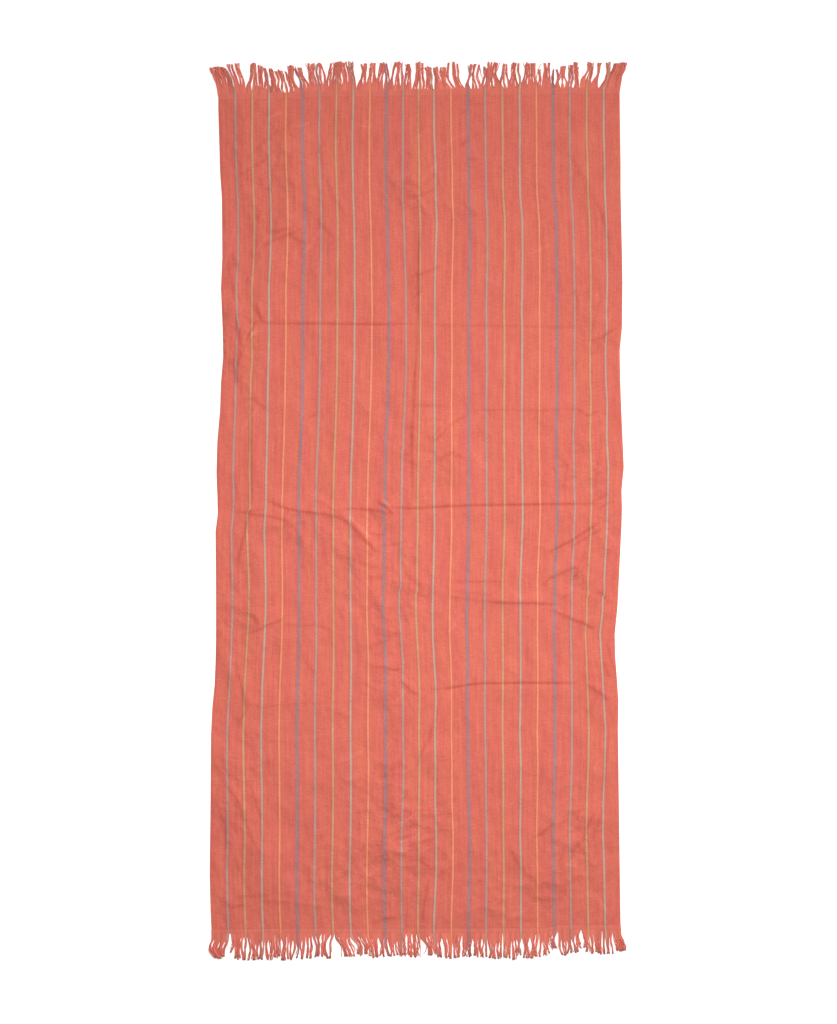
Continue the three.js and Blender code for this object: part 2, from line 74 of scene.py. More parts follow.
OUTLINE = {  # place along the towel: left edge, right edge
    935: (-441, 448), 900: (-441, 448), 760: (-437, 450), 700: (-433, 450), 570: (-432, 453),
    500: (-435, 454), 400: (-431, 453), 350: (-430, 448), 290: (-435, 449), 230: (-437, 451),
    160: (-443, 454), 90: (-445, 457), 40: (-443, 452), 0: (-442, 453), -40: (-447, 452),
    -160: (-446, 446), -220: (-446, 443), -280: (-446, 437), -330: (-447, 438), -380: (-449, 442),
    -430: (-454, 445), -490: (-457, 444), -640: (-458, 446), -800: (-460, 448), -880: (-458, 449),
    -926: (-456, 450), -940: (-457, 451),
}
FAR_END = {-441: 912, -259: 914, -230: 917, -38: 920, 317: 924, 448: 925}  # across: along
NEAR_END = {-456: -926, -348: -924, 284: -923, 310: -916, 450: -915}


def read(table, at, column=None):
    """Values of a table at any places, straight between its rows."""
    keys = sorted(table)
    values = [table[key] if column is None else table[key][column] for key in keys]
    return np.interp(at, keys, values)


panel_low, panel_high = (np.array(corner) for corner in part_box("panel"))
edges = np.array(list(OUTLINE.values()))
SHIFT_X = (panel_low[0] + panel_high[0]) / 2 / MM - (edges[:, 0].min() + edges[:, 1].max()) / 2
SHIFT_Y = panel_high[1] / MM - max(FAR_END.values())
print("shift of the tables, mm:", round(SHIFT_X, 2), round(SHIFT_Y, 2))


# %% [markdown]
# ## The form of the cloth
# Cloth that was stored folded keeps its folds when it is laid out. Some stand up as ridges,
# some are pressed down between two raised shoulders, and the cloth between them swells a
# little off the floor. A simulation would find folds of its own, so these are listed one by one.
# Each is one row: the path of its line, how high and wide it is, and how dark its line looks,
# which is painted shade along the fold, where a number below zero is a painted highlight. The
# last number, `pull`, is how far the fold tucks the stripes aside. A ridge is gentle on the
# left of its direction and steep on its right.

# %% Swells and folds
Swell = namedtuple("Swell", "across along half_width half_length height")
SWELLS = [Swell(*row) for row in (
    (-272, 730, 42, 150, 3.6), (-120, 640, 110, 170, 2.4), (210, 700, 130, 140, 2.8),
    (350, 560, 60, 130, 2.2), (-300, 220, 70, 150, 3.6), (-90, 240, 90, 110, 2.4),
    (190, 310, 120, 90, 2.6), (260, 110, 130, 70, 3.0), (-330, -150, 60, 90, 3.4),
    (-80, -210, 100, 130, 2.6), (200, -110, 110, 70, 2.8), (250, -300, 110, 70, 3.0),
    (-250, -560, 130, 110, 2.8), (150, -540, 90, 120, 2.6), (390, -560, 50, 110, 2.8),
    (-330, -800, 50, 90, 3.2), (-30, -690, 80, 90, 2.8), (300, -770, 90, 90, 3.0),
)]
REST_DEPTH = 0.9  # the swells start this far below the floor, so the cloth between them rests on it

Fold = namedtuple("Fold", "kind path height width dark pull", defaults=[0])
VALLEYS = [
    # the fold across the upper quarter
    (((-392, 432), (-368, 419), (-339, 418), (-193, 416), (-100, 415), (-4, 416)), 2.4, 34, 0.85),
    (((7, 413), (106, 412), (250, 410), (317, 408), (379, 410)), 2, 34, 0.35),
    # short folds to the right, above the middle
    (((111, 222), (140, 226), (272, 224), (343, 228)), 1.6, 26, 0.4),
    # the fold across the middle
    ((
        (-91, 20), (-73, 13), (-42, 8), (-11, 7), (51, 11), (117, 14), (317, 17), (405, 18),
    ), 3.2, 36, 0.85),
    # the fold across the lower quarter
    (((29, -394), (62, -391), (113, -383), (144, -380), (228, -379), (354, -379)), 2.8, 34, 0.9),
    (((-383, -432), (-343, -431), (-259, -425), (-148, -421), (-38, -414)), 1.8, 30, 0.18),
]
RIDGES = [
    # the fold across the upper quarter
    (((-370, 461), (-352, 436), (-343, 416)), 1.8, 9, 0.6),
    # short folds to the right, above the middle
    (((343, 228), (361, 224), (372, 213), (383, 215), (399, 224)), 1.8, 8, 0.75),
    (((2, 202), (24, 204), (51, 206)), 1.2, 8, 0.35),
    (((29, 151), (51, 171), (73, 193), (95, 208), (113, 215)), 2, 9, 0.55),
    # the fan of folds that leaves the left fold at the middle
    ((
        (-343, 29), (-321, 18), (-292, 7), (-259, 0), (-215, -4), (-175, -13), (-155, -24),
        (-135, -44), (-109, -71), (-86, -93),
    ), 3.8, 11, 0.9, -2),
    (((-233, 27), (-210, 18), (-182, 0), (-168, -11)), 2, 8, 0.55),
    (((-175, 4), (-144, 7), (-100, 4), (-73, -2), (-62, -11)), 2.8, 9, 0.75),
    ((
        (-392, 0), (-359, -7), (-315, -13), (-292, -20), (-277, -33), (-261, -60), (-259, -86),
    ), 3.2, 10, 0.65),
    (((-370, -38), (-326, -31), (-281, -24), (-259, -18), (-215, -11)), 1.6, 7, -0.3),
    (((-162, -18), (-137, -42), (-111, -69), (-88, -92)), 2, 6, 0.6),
    (((-155, -8), (-131, -31), (-104, -58)), 1.4, 5, -1),
    (((-88, 22), (-71, 9), (-56, -6)), 2.8, 6, 1.1, 3),
    (((-80, 26), (-62, 13), (-47, -2)), 1, 5, -1.2),
    # short slanting folds at the right edge
    (((349, -147), (358, -115), (366, -92)), 1.4, 6, 0.45),
    (((368, -92), (377, -118), (386, -143)), 1.4, 6, 0.45),
    (((284, -93), (306, -80), (339, -64), (372, -42), (401, -24)), 3, 8, 0.95, -3),
    (((275, -164), (290, -148), (308, -140), (334, -128), (354, -122)), 2.4, 8, 0.8, -2),
    (((383, 22), (401, 29), (421, 40)), 1.8, 8, 0.6),
    (((399, 4), (410, 13), (423, 22)), 1.6, 7, 0.5),
    # the fold below the middle, which turns down at its right end
    (((-27, -166), (18, -175), (62, -188), (106, -197)), 2.2, 12, 0.25),
    (((62, -184), (106, -193), (150, -199), (195, -201)), 2.2, 10, 0.35),
    (((166, -200), (206, -202), (250, -202), (310, -205)), 3.2, 9, 0.95),
    (((62, -172), (113, -179), (168, -184)), 1.4, 7, 0.4),
    (((299, -218), (321, -229), (346, -240), (366, -246), (390, -260)), 3.2, 8, 1, 3),
    (((69, -157), (106, -154), (197, -154)), 1.4, 8, 0.5),
    # short folds at the left edge, below the middle
    (((-385, -272), (-359, -264), (-330, -250), (-306, -241), (-290, -228)), 2.4, 10, 0.6),
    (((-377, -210), (-365, -228), (-352, -253)), 1.8, 9, 0.5),
    (((-295, -248), (-259, -253), (-228, -250), (-193, -261)), 1.4, 8, 0.4),
    # the fold across the lower quarter
    (((-44, -370), (-27, -385), (-11, -401), (2, -405)), 2, 7, 0.85),
    (((-401, -348), (-392, -385), (-383, -419), (-381, -439)), 2.4, 9, 0.8),
    (((-379, -436), (-390, -454), (-396, -472)), 1.8, 8, 0.7),
    (((-104, -341), (-71, -346), (-35, -352)), 1, 7, 0.45),
    (((-104, -186), (-84, -222), (-71, -259), (-69, -290)), 1.8, 10, 0.35),
    # the long fold down the centre
    (((0, 919), (2, 877), (4, 833)), 1.6, 12, 0.5),
    (((5, 627), (1, 578), (1, 512), (-1, 423)), 3.6, 18, 0.75),
    (((-2, 405), (-4, 357), (-9, 268), (-13, 179), (-13, 91), (-11, 29)), 4.4, 16, 0.9),
    (((51, -403), (42, -445), (27, -496), (7, -534), (-6, -569)), 5, 20, 0.5),
    (((35, -777), (24, -817), (13, -868), (7, -919)), 2.2, 12, 0.5),
    # the long fold near the left edge
    (((-352, 401), (-357, 346), (-365, 279), (-370, 224)), 2, 16, 0.2),
    (((-370, 246), (-370, 157), (-368, 69), (-368, 31), (-374, 2)), 3.4, 12, 0.8),
    (((-374, 2), (-383, -42), (-392, -82), (-401, -113)), 2.6, 12, 0.8),
    (((-370, -64), (-365, -120), (-365, -197)), 1.8, 12, 0.2),
    (((-410, -618), (-392, -662), (-370, -718), (-354, -751), (-348, -782)), 2.8, 11, 0.55),
    # short creases along the left edge
    (((-414, 574), (-399, 540)), 1.6, 7, 0.8),
    (((-421, 556), (-410, 490)), 1.8, 8, 0.75),
    (((-359, 461), (-353, 444), (-348, 428)), 1.8, 6, 0.8),
    (((-359, 423), (-366, 408), (-381, 379)), 1.8, 6, 0.8),
    (((-403, 423), (-392, 372), (-385, 363)), 2, 7, 0.9),
    (((-356, 402), (-374, 386)), 1.2, 5, -0.9),
    (((-392, 362), (-399, 330), (-403, 284)), 2.6, 9, 1),
    (((-392, 246), (-366, 250), (-332, 224)), 1.6, 7, 0.8),
    (((-374, -596), (-348, -678), (-343, -758)), 1.6, 9, 0.5),
    (((-452, -633), (-425, -700), (-421, -802)), 1.6, 9, 0.5),
    (((-454, -846), (-414, -877), (-377, -868)), 1.6, 8, 0.7),
    # short creases along the right edge
    (((405, 667), (421, 600), (423, 556)), 1.6, 8, 0.55),
    (((379, 379), (405, 385), (437, 406)), 1.8, 7, 0.85),
    (((437, 334), (439, 275), (427, 224)), 1.6, 8, 0.5),
    (((410, -330), (417, -350), (423, -368)), 2, 7, 1),
    (((416, -286), (426, -320), (438, -362)), 1.8, 7, 0.8),
    (((389, -312), (396, -349)), 1.4, 6, 0.6),
    (((399, -172), (413, -186), (423, -190)), 1.2, 5, 0.6),
    (((372, -381), (405, -403), (421, -419)), 2, 7, 1),
    (((423, -470), (421, -507), (410, -602)), 1.8, 9, 0.5),
    # slanting folds in the far corners
    (((-224, 915), (-239, 897), (-250, 870)), 1.6, 9, 0.4),
    (((-290, 839), (-290, 733), (-288, 627)), 2.6, 16, -0.4),
    (((-306, 793), (-321, 751), (-330, 707)), 1.6, 9, 0.35),
    (((-341, 704), (-352, 671), (-359, 638)), 1.4, 9, 0.3),
    (((-396, 760), (-359, 804), (-315, 839), (-281, 857)), 1.4, 9, 0.25),
    (((-392, 722), (-352, 766), (-315, 804), (-295, 822)), 1.4, 9, 0.25),
    (((-343, 589), (-315, 602), (-292, 611), (-259, 625)), 1.4, 8, 0.5),
    (((-253, 851), (-241, 833), (-219, 820)), 1.4, 8, -0.5),
    (((-219, 751), (-204, 733), (-182, 689), (-157, 651)), 1.8, 12, 0.4),
    (((-153, 859), (-109, 851), (-102, 795)), 1, 7, -0.4),
    (((321, 815), (343, 777), (365, 733), (383, 678), (396, 633)), 2.8, 12, 0.35),
    (((233, 822), (226, 800), (224, 764)), 1.6, 10, 0.4),
    # slanting folds in the near corners
    (((202, -740), (217, -773), (239, -802), (264, -822)), 2.6, 9, 0.6),
    (((255, -855), (284, -859), (299, -866)), 1.6, 7, 0.7),
    (((253, -855), (246, -895)), 1.2, 8, 0.4),
    (((332, -698), (321, -755), (306, -791)), 1.8, 10, 0.4),
    (((388, -658), (372, -711), (357, -742)), 2.2, 10, 0.4),
    (((374, -653), (361, -673), (348, -698)), 1.6, 8, -0.5),
    (((-164, -808), (-144, -777), (-122, -742), (-100, -711)), 1.8, 12, 0.35),
    (((-159, -837), (-122, -815), (-84, -786)), 1.4, 8, -0.5),
    (((-73, -711), (-84, -746), (-71, -786)), 1.6, 8, 0.5),
    (((18, -718), (40, -740), (69, -764)), 1.6, 9, 0.4),
    (((42, -808), (69, -789)), 1.4, 8, 0.35),
    # the star where the centre fold meets the fold above it
    (((-49, 676), (-27, 689), (2, 700)), 1.4, 6, 0.4),
    (((-29, 696), (7, 702), (31, 711), (44, 727)), 1.6, 6, 0.6),
    (((-40, 731), (-16, 727), (7, 713)), 1.4, 6, 0.55),
    (((7, 733), (24, 753), (44, 771)), 1.4, 7, -0.5),
    (((51, 800), (73, 822), (109, 842)), 1.2, 8, -0.4),
    (((9, 693), (16, 671), (20, 640)), 1.2, 6, -0.3),
    # the star where it meets the fold below
    (((-95, -560), (-71, -565), (-42, -556), (-20, -569)), 1.4, 7, 0.4),
    (((-73, -680), (-42, -669), (-9, -653)), 1.6, 6, 0.4),
    (((-55, -693), (-29, -684), (-2, -667)), 1.4, 6, -0.6),
    (((-71, -720), (-38, -702), (-2, -691)), 1.6, 6, 0.4),
    (((2, -669), (33, -662)), 1.4, 5, -0.6),
    (((-42, -733), (-11, -720), (16, -704)), 1.4, 6, -0.6),
    (((-73, -742), (-47, -751), (-16, -746)), 1.6, 6, -0.6),
    (((-55, -653), (-33, -636), (-20, -609)), 1.2, 7, 0.3),
]
FOLDS = [Fold("valley", *row) for row in VALLEYS] + [Fold("ridge", *row) for row in RIDGES]
BROAD_SHARE = 0.5  # share of a ridge's height that rises gently
BROAD_WIDTH = 2.2  # how much wider than the crest that rise is
LEAN = 0.5  # a ridge is steeper on one side
CREST_SHIFT = 0.7  # how far the crest stands beside the line, in widths of its steep side
CREST_POWER = 1.6  # 2 is a plain bell, and less than that is a sharper crest
CREASE_DEPTH = 1.5  # of the line between a valley's shoulders, where it is darkest
CREASE_NEAR = 3.2  # a pressed crease is steep on one side of its line
CREASE_FAR = 8.0
CREASE_POWER = 1.5  # sharper still
PAINTED_LINE_WIDTH = 2.8  # the painted dark line of a crease
LINE_SHIFT = 1.6  # towards the near right corner, away from the light on a pressed line
FOLD_TAPER = 0.2  # share of a fold's length over which it dies away


def smoothstep(value, low, high):
    """Zero up to low, one from high on, with a soft start and end."""
    share = np.clip((value - low) / (high - low), 0, 1)
    return share * share * (3 - 2 * share)


def from_path(path, x, y):
    """How far points are across a fold's line, and how much of the fold is there."""
    nearest = np.full_like(x, np.inf)
    across = np.zeros_like(x)
    along = np.zeros_like(x)
    done = 0.0
    for (x0, y0), (x1, y1) in zip(path, path[1:]):
        length = math.hypot(x1 - x0, y1 - y0)
        step_x = (x1 - x0) / length
        step_y = (y1 - y0) / length
        run = (x - x0) * step_x + (y - y0) * step_y
        side = (y - y0) * step_x - (x - x0) * step_y
        distance = np.hypot(side, run - np.clip(run, 0, length))
        closer = distance < nearest
        nearest = np.where(closer, distance, nearest)
        across = np.where(closer, np.copysign(distance, side), across)
        along = np.where(closer, done + run, along)
        done += length
    reach = done * FOLD_TAPER
    inside = smoothstep(along, -reach / 2, reach) * smoothstep(done - along, -reach / 2, reach)
    return across, inside


def bell(distance, width, power=2.0):
    """One at no distance, and nearly nothing at twice the width."""
    return np.exp(-np.abs(distance / width) ** power)


def fold_lift(fold, x, y):
    """Height of one fold, and the painted shade of its line."""
    across, inside = from_path(fold.path, x - LINE_SHIFT, y + LINE_SHIFT)
    if fold.kind == "valley":
        off = across + CREASE_NEAR / 2
        crease = bell(off, np.where(off > 0, CREASE_NEAR, CREASE_FAR), CREASE_POWER)
        lift = fold.height * bell(across, fold.width) - CREASE_DEPTH * fold.dark * crease
    else:
        off = across - fold.width * (1 - LEAN) * CREST_SHIFT
        side = np.where(off > 0, 1 + LEAN, 1 - LEAN)
        crest = bell(off, fold.width * side, CREST_POWER)
        rise = bell(off, fold.width * BROAD_WIDTH)
        lift = fold.height * (BROAD_SHARE * rise + (1 - BROAD_SHARE) * crest)
    return lift * inside, fold.dark * inside * bell(across, PAINTED_LINE_WIDTH)


print("folds:", len(VALLEYS), "valleys and", len(RIDGES), "ridges")

# %% [markdown]
# ## Small wrinkles
# The cloth also keeps many short wrinkles, which are too small to count as folds of their own.
# A second, plainer list holds them: place, direction in degrees, length, height, width, pull.

# %% Wrinkles
Wrinkle = namedtuple("Wrinkle", "x y turn length height width pull", defaults=[0])
WRINKLES = [Wrinkle(*row) for row in (
    # where the centre fold meets the folds across it
    (-30, 712, -14, 58, 1.3, 5), (-12, 730, -32, 46, 1.2, 5), (28, 738, 44, 48, 1.2, 5),
    (10, 668, -62, 50, 1.2, 5), (-34, 672, 30, 44, 1.0, 5), (-44, -658, -12, 60, 1.3, 5),
    (4, -662, 8, 66, 1.3, 5), (-24, -718, 14, 70, 1.3, 5), (6, -732, 18, 52, 1.2, 5),
    (-46, -756, -16, 56, 1.3, 5), (-60, -584, 4, 70, 1.0, 5),
    # along the left side
    (-396, 396, 66, 60, 2.4, 6, 9), (-392, 340, 70, 70, 2.2, 7, -7), (-396, 370, 70, 90, 1.6, 7),
    (-372, 2, 8, 60, 2.0, 5, 7), (-400, 60, 80, 110, 1.4, 7), (-398, -120, 84, 120, 1.4, 7),
    (-370, 760, 30, 80, 1.0, 7), (-392, -800, -66, 120, 1.4, 8), (-362, -850, 4, 90, 1.0, 6),
    # along the right side
    (392, 690, -66, 110, 1.3, 7), (392, 430, 74, 120, 1.6, 7), (408, 380, 60, 70, 1.4, 6),
    (400, 120, 82, 130, 1.2, 7), (330, 96, 80, 110, 1.2, 8), (372, -58, 30, 90, 1.2, 6),
    (352, -138, 44, 60, 1.2, 6), (390, -420, 60, 70, 1.0, 7), (362, -720, 62, 130, 1.3, 9),
    (398, -690, 70, 90, 1.1, 8),
    # where they have tucked a stripe aside
    (-215, 806, 60, 40, 1.4, 5, 5), (-74, 16, -30, 50, 1.8, 5, 4), (-34, 138, -40, 40, 1.4, 5, 3),
    (-38, -172, -30, 60, 1.8, 6, 5), (-2, -180, -20, 44, 1.6, 5, 4),
    (384, -192, -30, 40, 1.4, 5, 4), (412, -188, -40, 44, 1.6, 5, 5),
    # on the cloth between the folds
    (52, 120, 20, 60, 1.2, 5), (92, 122, -22, 44, 1.2, 5), (-86, -122, -10, 90, 1.2, 6),
    (-100, -146, 6, 70, 1.1, 6), (-12, -150, -40, 60, 1.1, 6), (-80, -345, -8, 80, 1.1, 6),
    (-54, -780, 86, 120, 1.3, 8), (-220, 640, -44, 130, 1.1, 12), (-280, -868, -6, 140, 0.9, 7),
    (150, 905, 6, 60, 1.2, 5),
)]
# painted shade along each wrinkle's line
WRINKLE_PAINTED_SHADE = 0.45


def short_path(x, y, turn, length, bend=None):
    """A path through a place, straight, or with a corner moved off its middle."""
    half_x = math.cos(math.radians(turn)) * length / 2
    half_y = math.sin(math.radians(turn)) * length / 2
    middle = () if bend is None else ((x + bend[0], y + bend[1]),)
    return ((x - half_x, y - half_y), *middle, (x + half_x, y + half_y))


def wrinkle_fold(wrinkle):
    path = short_path(wrinkle.x, wrinkle.y, wrinkle.turn, wrinkle.length)
    return Fold("ridge", path, wrinkle.height, wrinkle.width, WRINKLE_PAINTED_SHADE, wrinkle.pull)


print("wrinkles:", len(WRINKLES))

# %% [markdown]
# Here and there the cloth is crumpled all over. A third list says where, and how much of the
# crumpled relief in the cloth's finish shows there.

# %% Crumpled places
Crumple = namedtuple("Crumple", "across along half_width half_length share")
CRUMPLES = [Crumple(*row) for row in (
    (-330, 800, 90, 110, 0.7), (-300, 640, 90, 100, 0.6), (-10, 710, 80, 70, 0.9),
    (-400, 380, 50, 110, 1.0), (395, 420, 45, 130, 1.0), (300, 780, 110, 100, 0.5),
    (-90, 190, 110, 90, 0.5), (60, 160, 90, 110, 0.6), (340, 110, 70, 110, 0.7),
    (-230, -30, 150, 60, 0.7), (400, -20, 50, 120, 1.0), (-60, -160, 110, 110, 1.0),
    (340, -170, 80, 80, 0.7), (-390, -240, 60, 80, 0.9), (-60, -390, 90, 70, 0.6),
    (-400, -620, 50, 140, 0.7), (-40, -700, 110, 110, 1.0), (340, -730, 80, 110, 0.9),
    (-130, -820, 110, 70, 0.6), (200, -850, 130, 50, 0.5),
)]
CRUMPLE_BASE = 0.3  # how much of it shows on the plain cloth


def crumple_share(x, y):
    """How much of the crumpled relief shows at each place, from 0 to 1."""
    share = np.full_like(x, CRUMPLE_BASE)
    for crumple in CRUMPLES:
        off_x = (x - crumple.across) / crumple.half_width
        off_y = (y - crumple.along) / crumple.half_length
        share += crumple.share * np.exp(-off_x * off_x - off_y * off_y)
    return np.clip(share, 0, 1)


print("crumpled places:", len(CRUMPLES))

# %% [markdown]
# The faintest wrinkles are everywhere and too many to place, so seeded chance scatters them,
# most thickly where the cloth is crumpled. Beside the long edges they run along the towel.

# %% Scattered wrinkles
SCATTERED = 190
SCATTER_HALF = np.array((445, 905))
SIDE_BAND = 330  # past this they run along the towel
SIDE_TURN = (90, 26)  # degrees, and how far they stray
MIDDLE_TURN = (-65, 65)
SCATTER_LENGTH = (22, 75)
SCATTER_BEND = 3  # how far chance moves their middle
SCATTER_LEAST = (0.5, 4, -0.6)  # height, width and painted line shade, a painted highlight below zero
SCATTER_MOST = (1.4, 7, 0.75)


def scattered_folds(count, seed):
    """Short folds at random places, most of them where the cloth is crumpled."""
    random = np.random.default_rng(seed)
    made = []
    while len(made) < count:
        x, y = random.uniform(-SCATTER_HALF, SCATTER_HALF)
        if random.random() > crumple_share(x, y):
            continue
        beside = abs(x) > SIDE_BAND
        turn = random.normal(*SIDE_TURN) if beside else random.uniform(*MIDDLE_TURN)
        length = random.uniform(*SCATTER_LENGTH)
        path = short_path(x, y, turn, length, bend=random.normal(0, SCATTER_BEND, 2))
        made.append(Fold("ridge", path, *random.uniform(SCATTER_LEAST, SCATTER_MOST)))
    return made


SMALL_FOLDS = [wrinkle_fold(wrinkle) for wrinkle in WRINKLES] + scattered_folds(SCATTERED, 5)
print("small folds in all:", len(SMALL_FOLDS))

# %% [markdown]
# All of it adds up to one form: a height at every place of the cloth. Towards the ends it goes
# down to nothing, where the headings hold the cloth flat, and the long edges lie nearly flat.

# %% The whole form
PULL_STEP = 3  # width over which the pull turns round, on the fold's line
PULL_REACH = 22  # distance at which it has faded
SIDE_FLAT = 26  # the long edges are flatter over this width
SIDE_SHARE = 0.35  # what is left of the folds at the very edge
END_FLAT = 30


def stripe_pull(x, y):
    """How far the folds pull the weave sideways: one way above a fold, the other way below it."""
    pull = np.zeros_like(x)
    for fold in FOLDS + SMALL_FOLDS:
        if fold.pull:
            across, inside = from_path(fold.path, x, y)
            side = across / np.hypot(across, PULL_STEP)
            pull += fold.pull / 2 * inside * side * np.exp(-np.abs(across) / PULL_REACH)
    return pull


def cloth_form(x, y):
    """How far the cloth stands off the floor, its small wrinkles, and its painted crease shade."""
    broad = np.full_like(x, -REST_DEPTH)
    for swell in SWELLS:
        off_x = (x - swell.across) / swell.half_width
        off_y = (y - swell.along) / swell.half_length
        broad += swell.height * np.exp(-off_x * off_x - off_y * off_y)
    # painted shade along the fold lines, and a painted highlight where it is below zero
    crease = np.zeros_like(x)
    for fold in FOLDS:
        lift, line = fold_lift(fold, x, y)
        broad += lift
        crease += line
    small = np.zeros_like(x)
    for fold in SMALL_FOLDS:
        lift, line = fold_lift(fold, x, y)
        small += lift
        crease += line
    from_end = np.minimum(read(FAR_END, x) - y, y - read(NEAR_END, x))
    from_side = np.minimum(x - read(OUTLINE, y, 0), read(OUTLINE, y, 1) - x)
    end_share = smoothstep(from_end, 0, END_FLAT)
    side_share = SIDE_SHARE + (1 - SIDE_SHARE) * smoothstep(from_side, 0, SIDE_FLAT)
    share = end_share * side_share
    return np.maximum(broad, 0) * share, small * share, crease * share


# %% [markdown]
# ## How the stripes wander
# The stripes are woven straight, but the cloth has been pulled about, so each one bends by a
# few millimetres. This table gives, at places along the towel, how far the cloth lies to the
# right of an even spacing. Its columns are at the bays in `DRIFT_BAYS`.

# %% Drift of the cloth
DRIFT_BAYS = (0, 2, 5, 8, 11, 13, 15, 18, 21, 23, 24)
DRIFT = {
    900: (0, 1.5, 2, 2.5, 2, -4, -3, 0.5, 0.5, 1.5, 0),
    830: (0, -1, -1, -1, 0, -5, -3.5, 0, -1, 0.5, 0),
    760: (0, -1.5, -0.5, -2, -2, -3, -3.5, -2, -0.5, 1.5, 0),
    700: (0, -3, -0.5, -3.5, -4, -5, -4.5, -2, 0, 2, 0),
    640: (0, -2, -1, -2, -2.5, -3, -3.5, 2, 3.5, 3.5, 0),
    570: (0, -4, -3.5, -2, -1.5, -7, -5, 1, 3.5, 3.5, 0),
    500: (0, -6, -3.5, -0.5, 2, -8, -6.5, 0.5, 5, 3.5, 0),
    440: (0, -7.5, -5.5, -1, 2, -9, -7.5, -1, 5.5, 2, 0),
    400: (0, -8, -7, -3, 1, -9.5, -7.5, 0, 6, 3, 0),
    350: (0, -10.5, -6.5, -2, 3, -6.5, -4.5, 3.5, 9.5, 5, 0),
    290: (0, -8, -3.5, -0.5, 4, -6, -3.5, 4, 9.5, 5, 0),
    230: (0, -6.5, -3.5, -1, 2, -6.5, -4.5, 2, 8, 6.5, 0),
    160: (0, -1.5, -2, 0, 0, -4.5, -4, 1.5, 3.5, 2.5, 0),
    90: (0, -1.5, -4.5, -2.5, -2.5, -5.5, -5, 1, 2.5, 3.5, 0),
    40: (0, -2.5, -6, -3, -2.5, -5, -3, 4.5, 7.5, 7.5, 0),
    0: (0, -6.5, -6.5, -4.5, -4, -5.5, -3.5, 4, 8, 5, 0),
    -40: (0, -5, -2.5, -1, -1, -2, -1, 5.5, 8, 5.5, 0),
    -160: (0, -1, -2, 0.5, -0.5, -2.5, -1, 4.5, 7.5, 4.5, 0),
    -220: (0, -1, -1.5, 2, -1.5, -2, 0, 7.5, 10, 5, 0),
    -280: (0, -4.5, 0, 4.5, 5.5, 1.5, 3.5, 12, 13.5, 4, 0),
    -330: (0, -6.5, -0.5, 5.5, 9, 4.5, 5, 12, 14, 6, 0),
    -380: (0, -7.5, -2, 5, 9, 6.5, 2.5, 9.5, 11, 5.5, 0),
    -430: (0, -4.5, 0.5, 6.5, 10, 8, 2, 8, 10, 5.5, 0),
    -490: (0, -4, 2.5, 8.5, 12, 7.5, 5.5, 8, 11, 10.5, 0),
    -560: (0, -3, 3.5, 9.5, 13.5, 8.5, 6, 9.5, 10, 8, 0),
    -640: (0, -0.5, 3.5, 9.5, 11.5, 7.5, 6.5, 8.5, 6.5, 3.5, 0),
    -720: (0, 1.5, 4, 9, 8.5, 10, 9, 7, 3, 1.5, 0),
    -800: (0, 1, 3.5, 7, 8.5, 10, 8, 8.5, 4, 3.5, 0),
    -880: (0, 0, 2.5, 6, 7, 4.5, 5, 7, 4, 4, 0),
    -915: (0, 0, 3, 6.5, 7, 2, 3.5, 6, 4, 4, 0),
}


def across_place(bay, along):
    """Where a bay of the weave lies across the towel, at places along it."""
    left = read(OUTLINE, along, 0)
    right = read(OUTLINE, along, 1)
    drift = np.array([read(DRIFT, along, column) for column in range(len(DRIFT_BAYS))])
    column = np.interp(bay, DRIFT_BAYS, range(len(DRIFT_BAYS)))
    before = np.clip(column.astype(int), 0, len(DRIFT_BAYS) - 2)
    share = column - before
    rows = np.arange(len(bay))
    pulled = drift[before, rows] * (1 - share) + drift[before + 1, rows] * share
    return left + (right - left) * bay / BAYS + pulled


print("largest drift:", max(abs(value) for row in DRIFT.values() for value in row), "mm")

# %% [markdown]
# ## The cloth shell
# The cloth is one grid, given a thickness, and twice as fine on its upper side. Its lines
# are closer where a long crease runs, so a crease a few millimetres wide keeps its sharp line
# while the whole shell stays under 200,000 triangles. The bmesh operators build it as a flat
# slab of even cells, and then every corner is moved to its place on the towel.

# %% Lines of the grid
ROW_RANGE = (-923.5, 920.5)
ROW_STEP = 5.0
COLUMN_RANGE = (-456, 450)
COLUMN_STEP = 5.1
Band = namedtuple("Band", "low high step")
ROW_BANDS = [Band(*row) for row in (
    (-927, -912, 3.0), (-434, -410, 3.6), (-396, -374, 2.4), (-262, -190, 3.4), (-92, 2, 3.4),
    (2, 22, 2.2), (208, 230, 3.2), (402, 422, 2.4), (908, 926, 3.0),
)]
COLUMN_BANDS = [Band(*row) for row in (
    (-460, -452, 2.0), (-382, -350, 3.2), (-20, 24, 3.2), (442, 454, 2.0),
)]


def spaced_lines(low, high, coarse, bands):
    """Lines from low to high, closer inside the bands, with an even number of steps."""
    lines = [low]
    while lines[-1] < high:
        steps = [band.step for band in bands if band.low - coarse < lines[-1] < band.high]
        lines.append(lines[-1] + min(steps + [coarse]))
    if len(lines) % 2 == 0:
        lines.append(lines[-1] + coarse)
    lines = np.array(lines)
    return low + (lines - low) * (high - low) / (lines[-1] - low)


row_lines = spaced_lines(*ROW_RANGE, ROW_STEP, ROW_BANDS)
column_lines = spaced_lines(*COLUMN_RANGE, COLUMN_STEP, COLUMN_BANDS)
column_bays = (column_lines - column_lines[0]) / (column_lines[-1] - column_lines[0]) * BAYS
print("cloth grid:", len(row_lines), "by", len(column_lines), "lines")


# %% The flat slab
SHARP_ANGLE = math.radians(40)


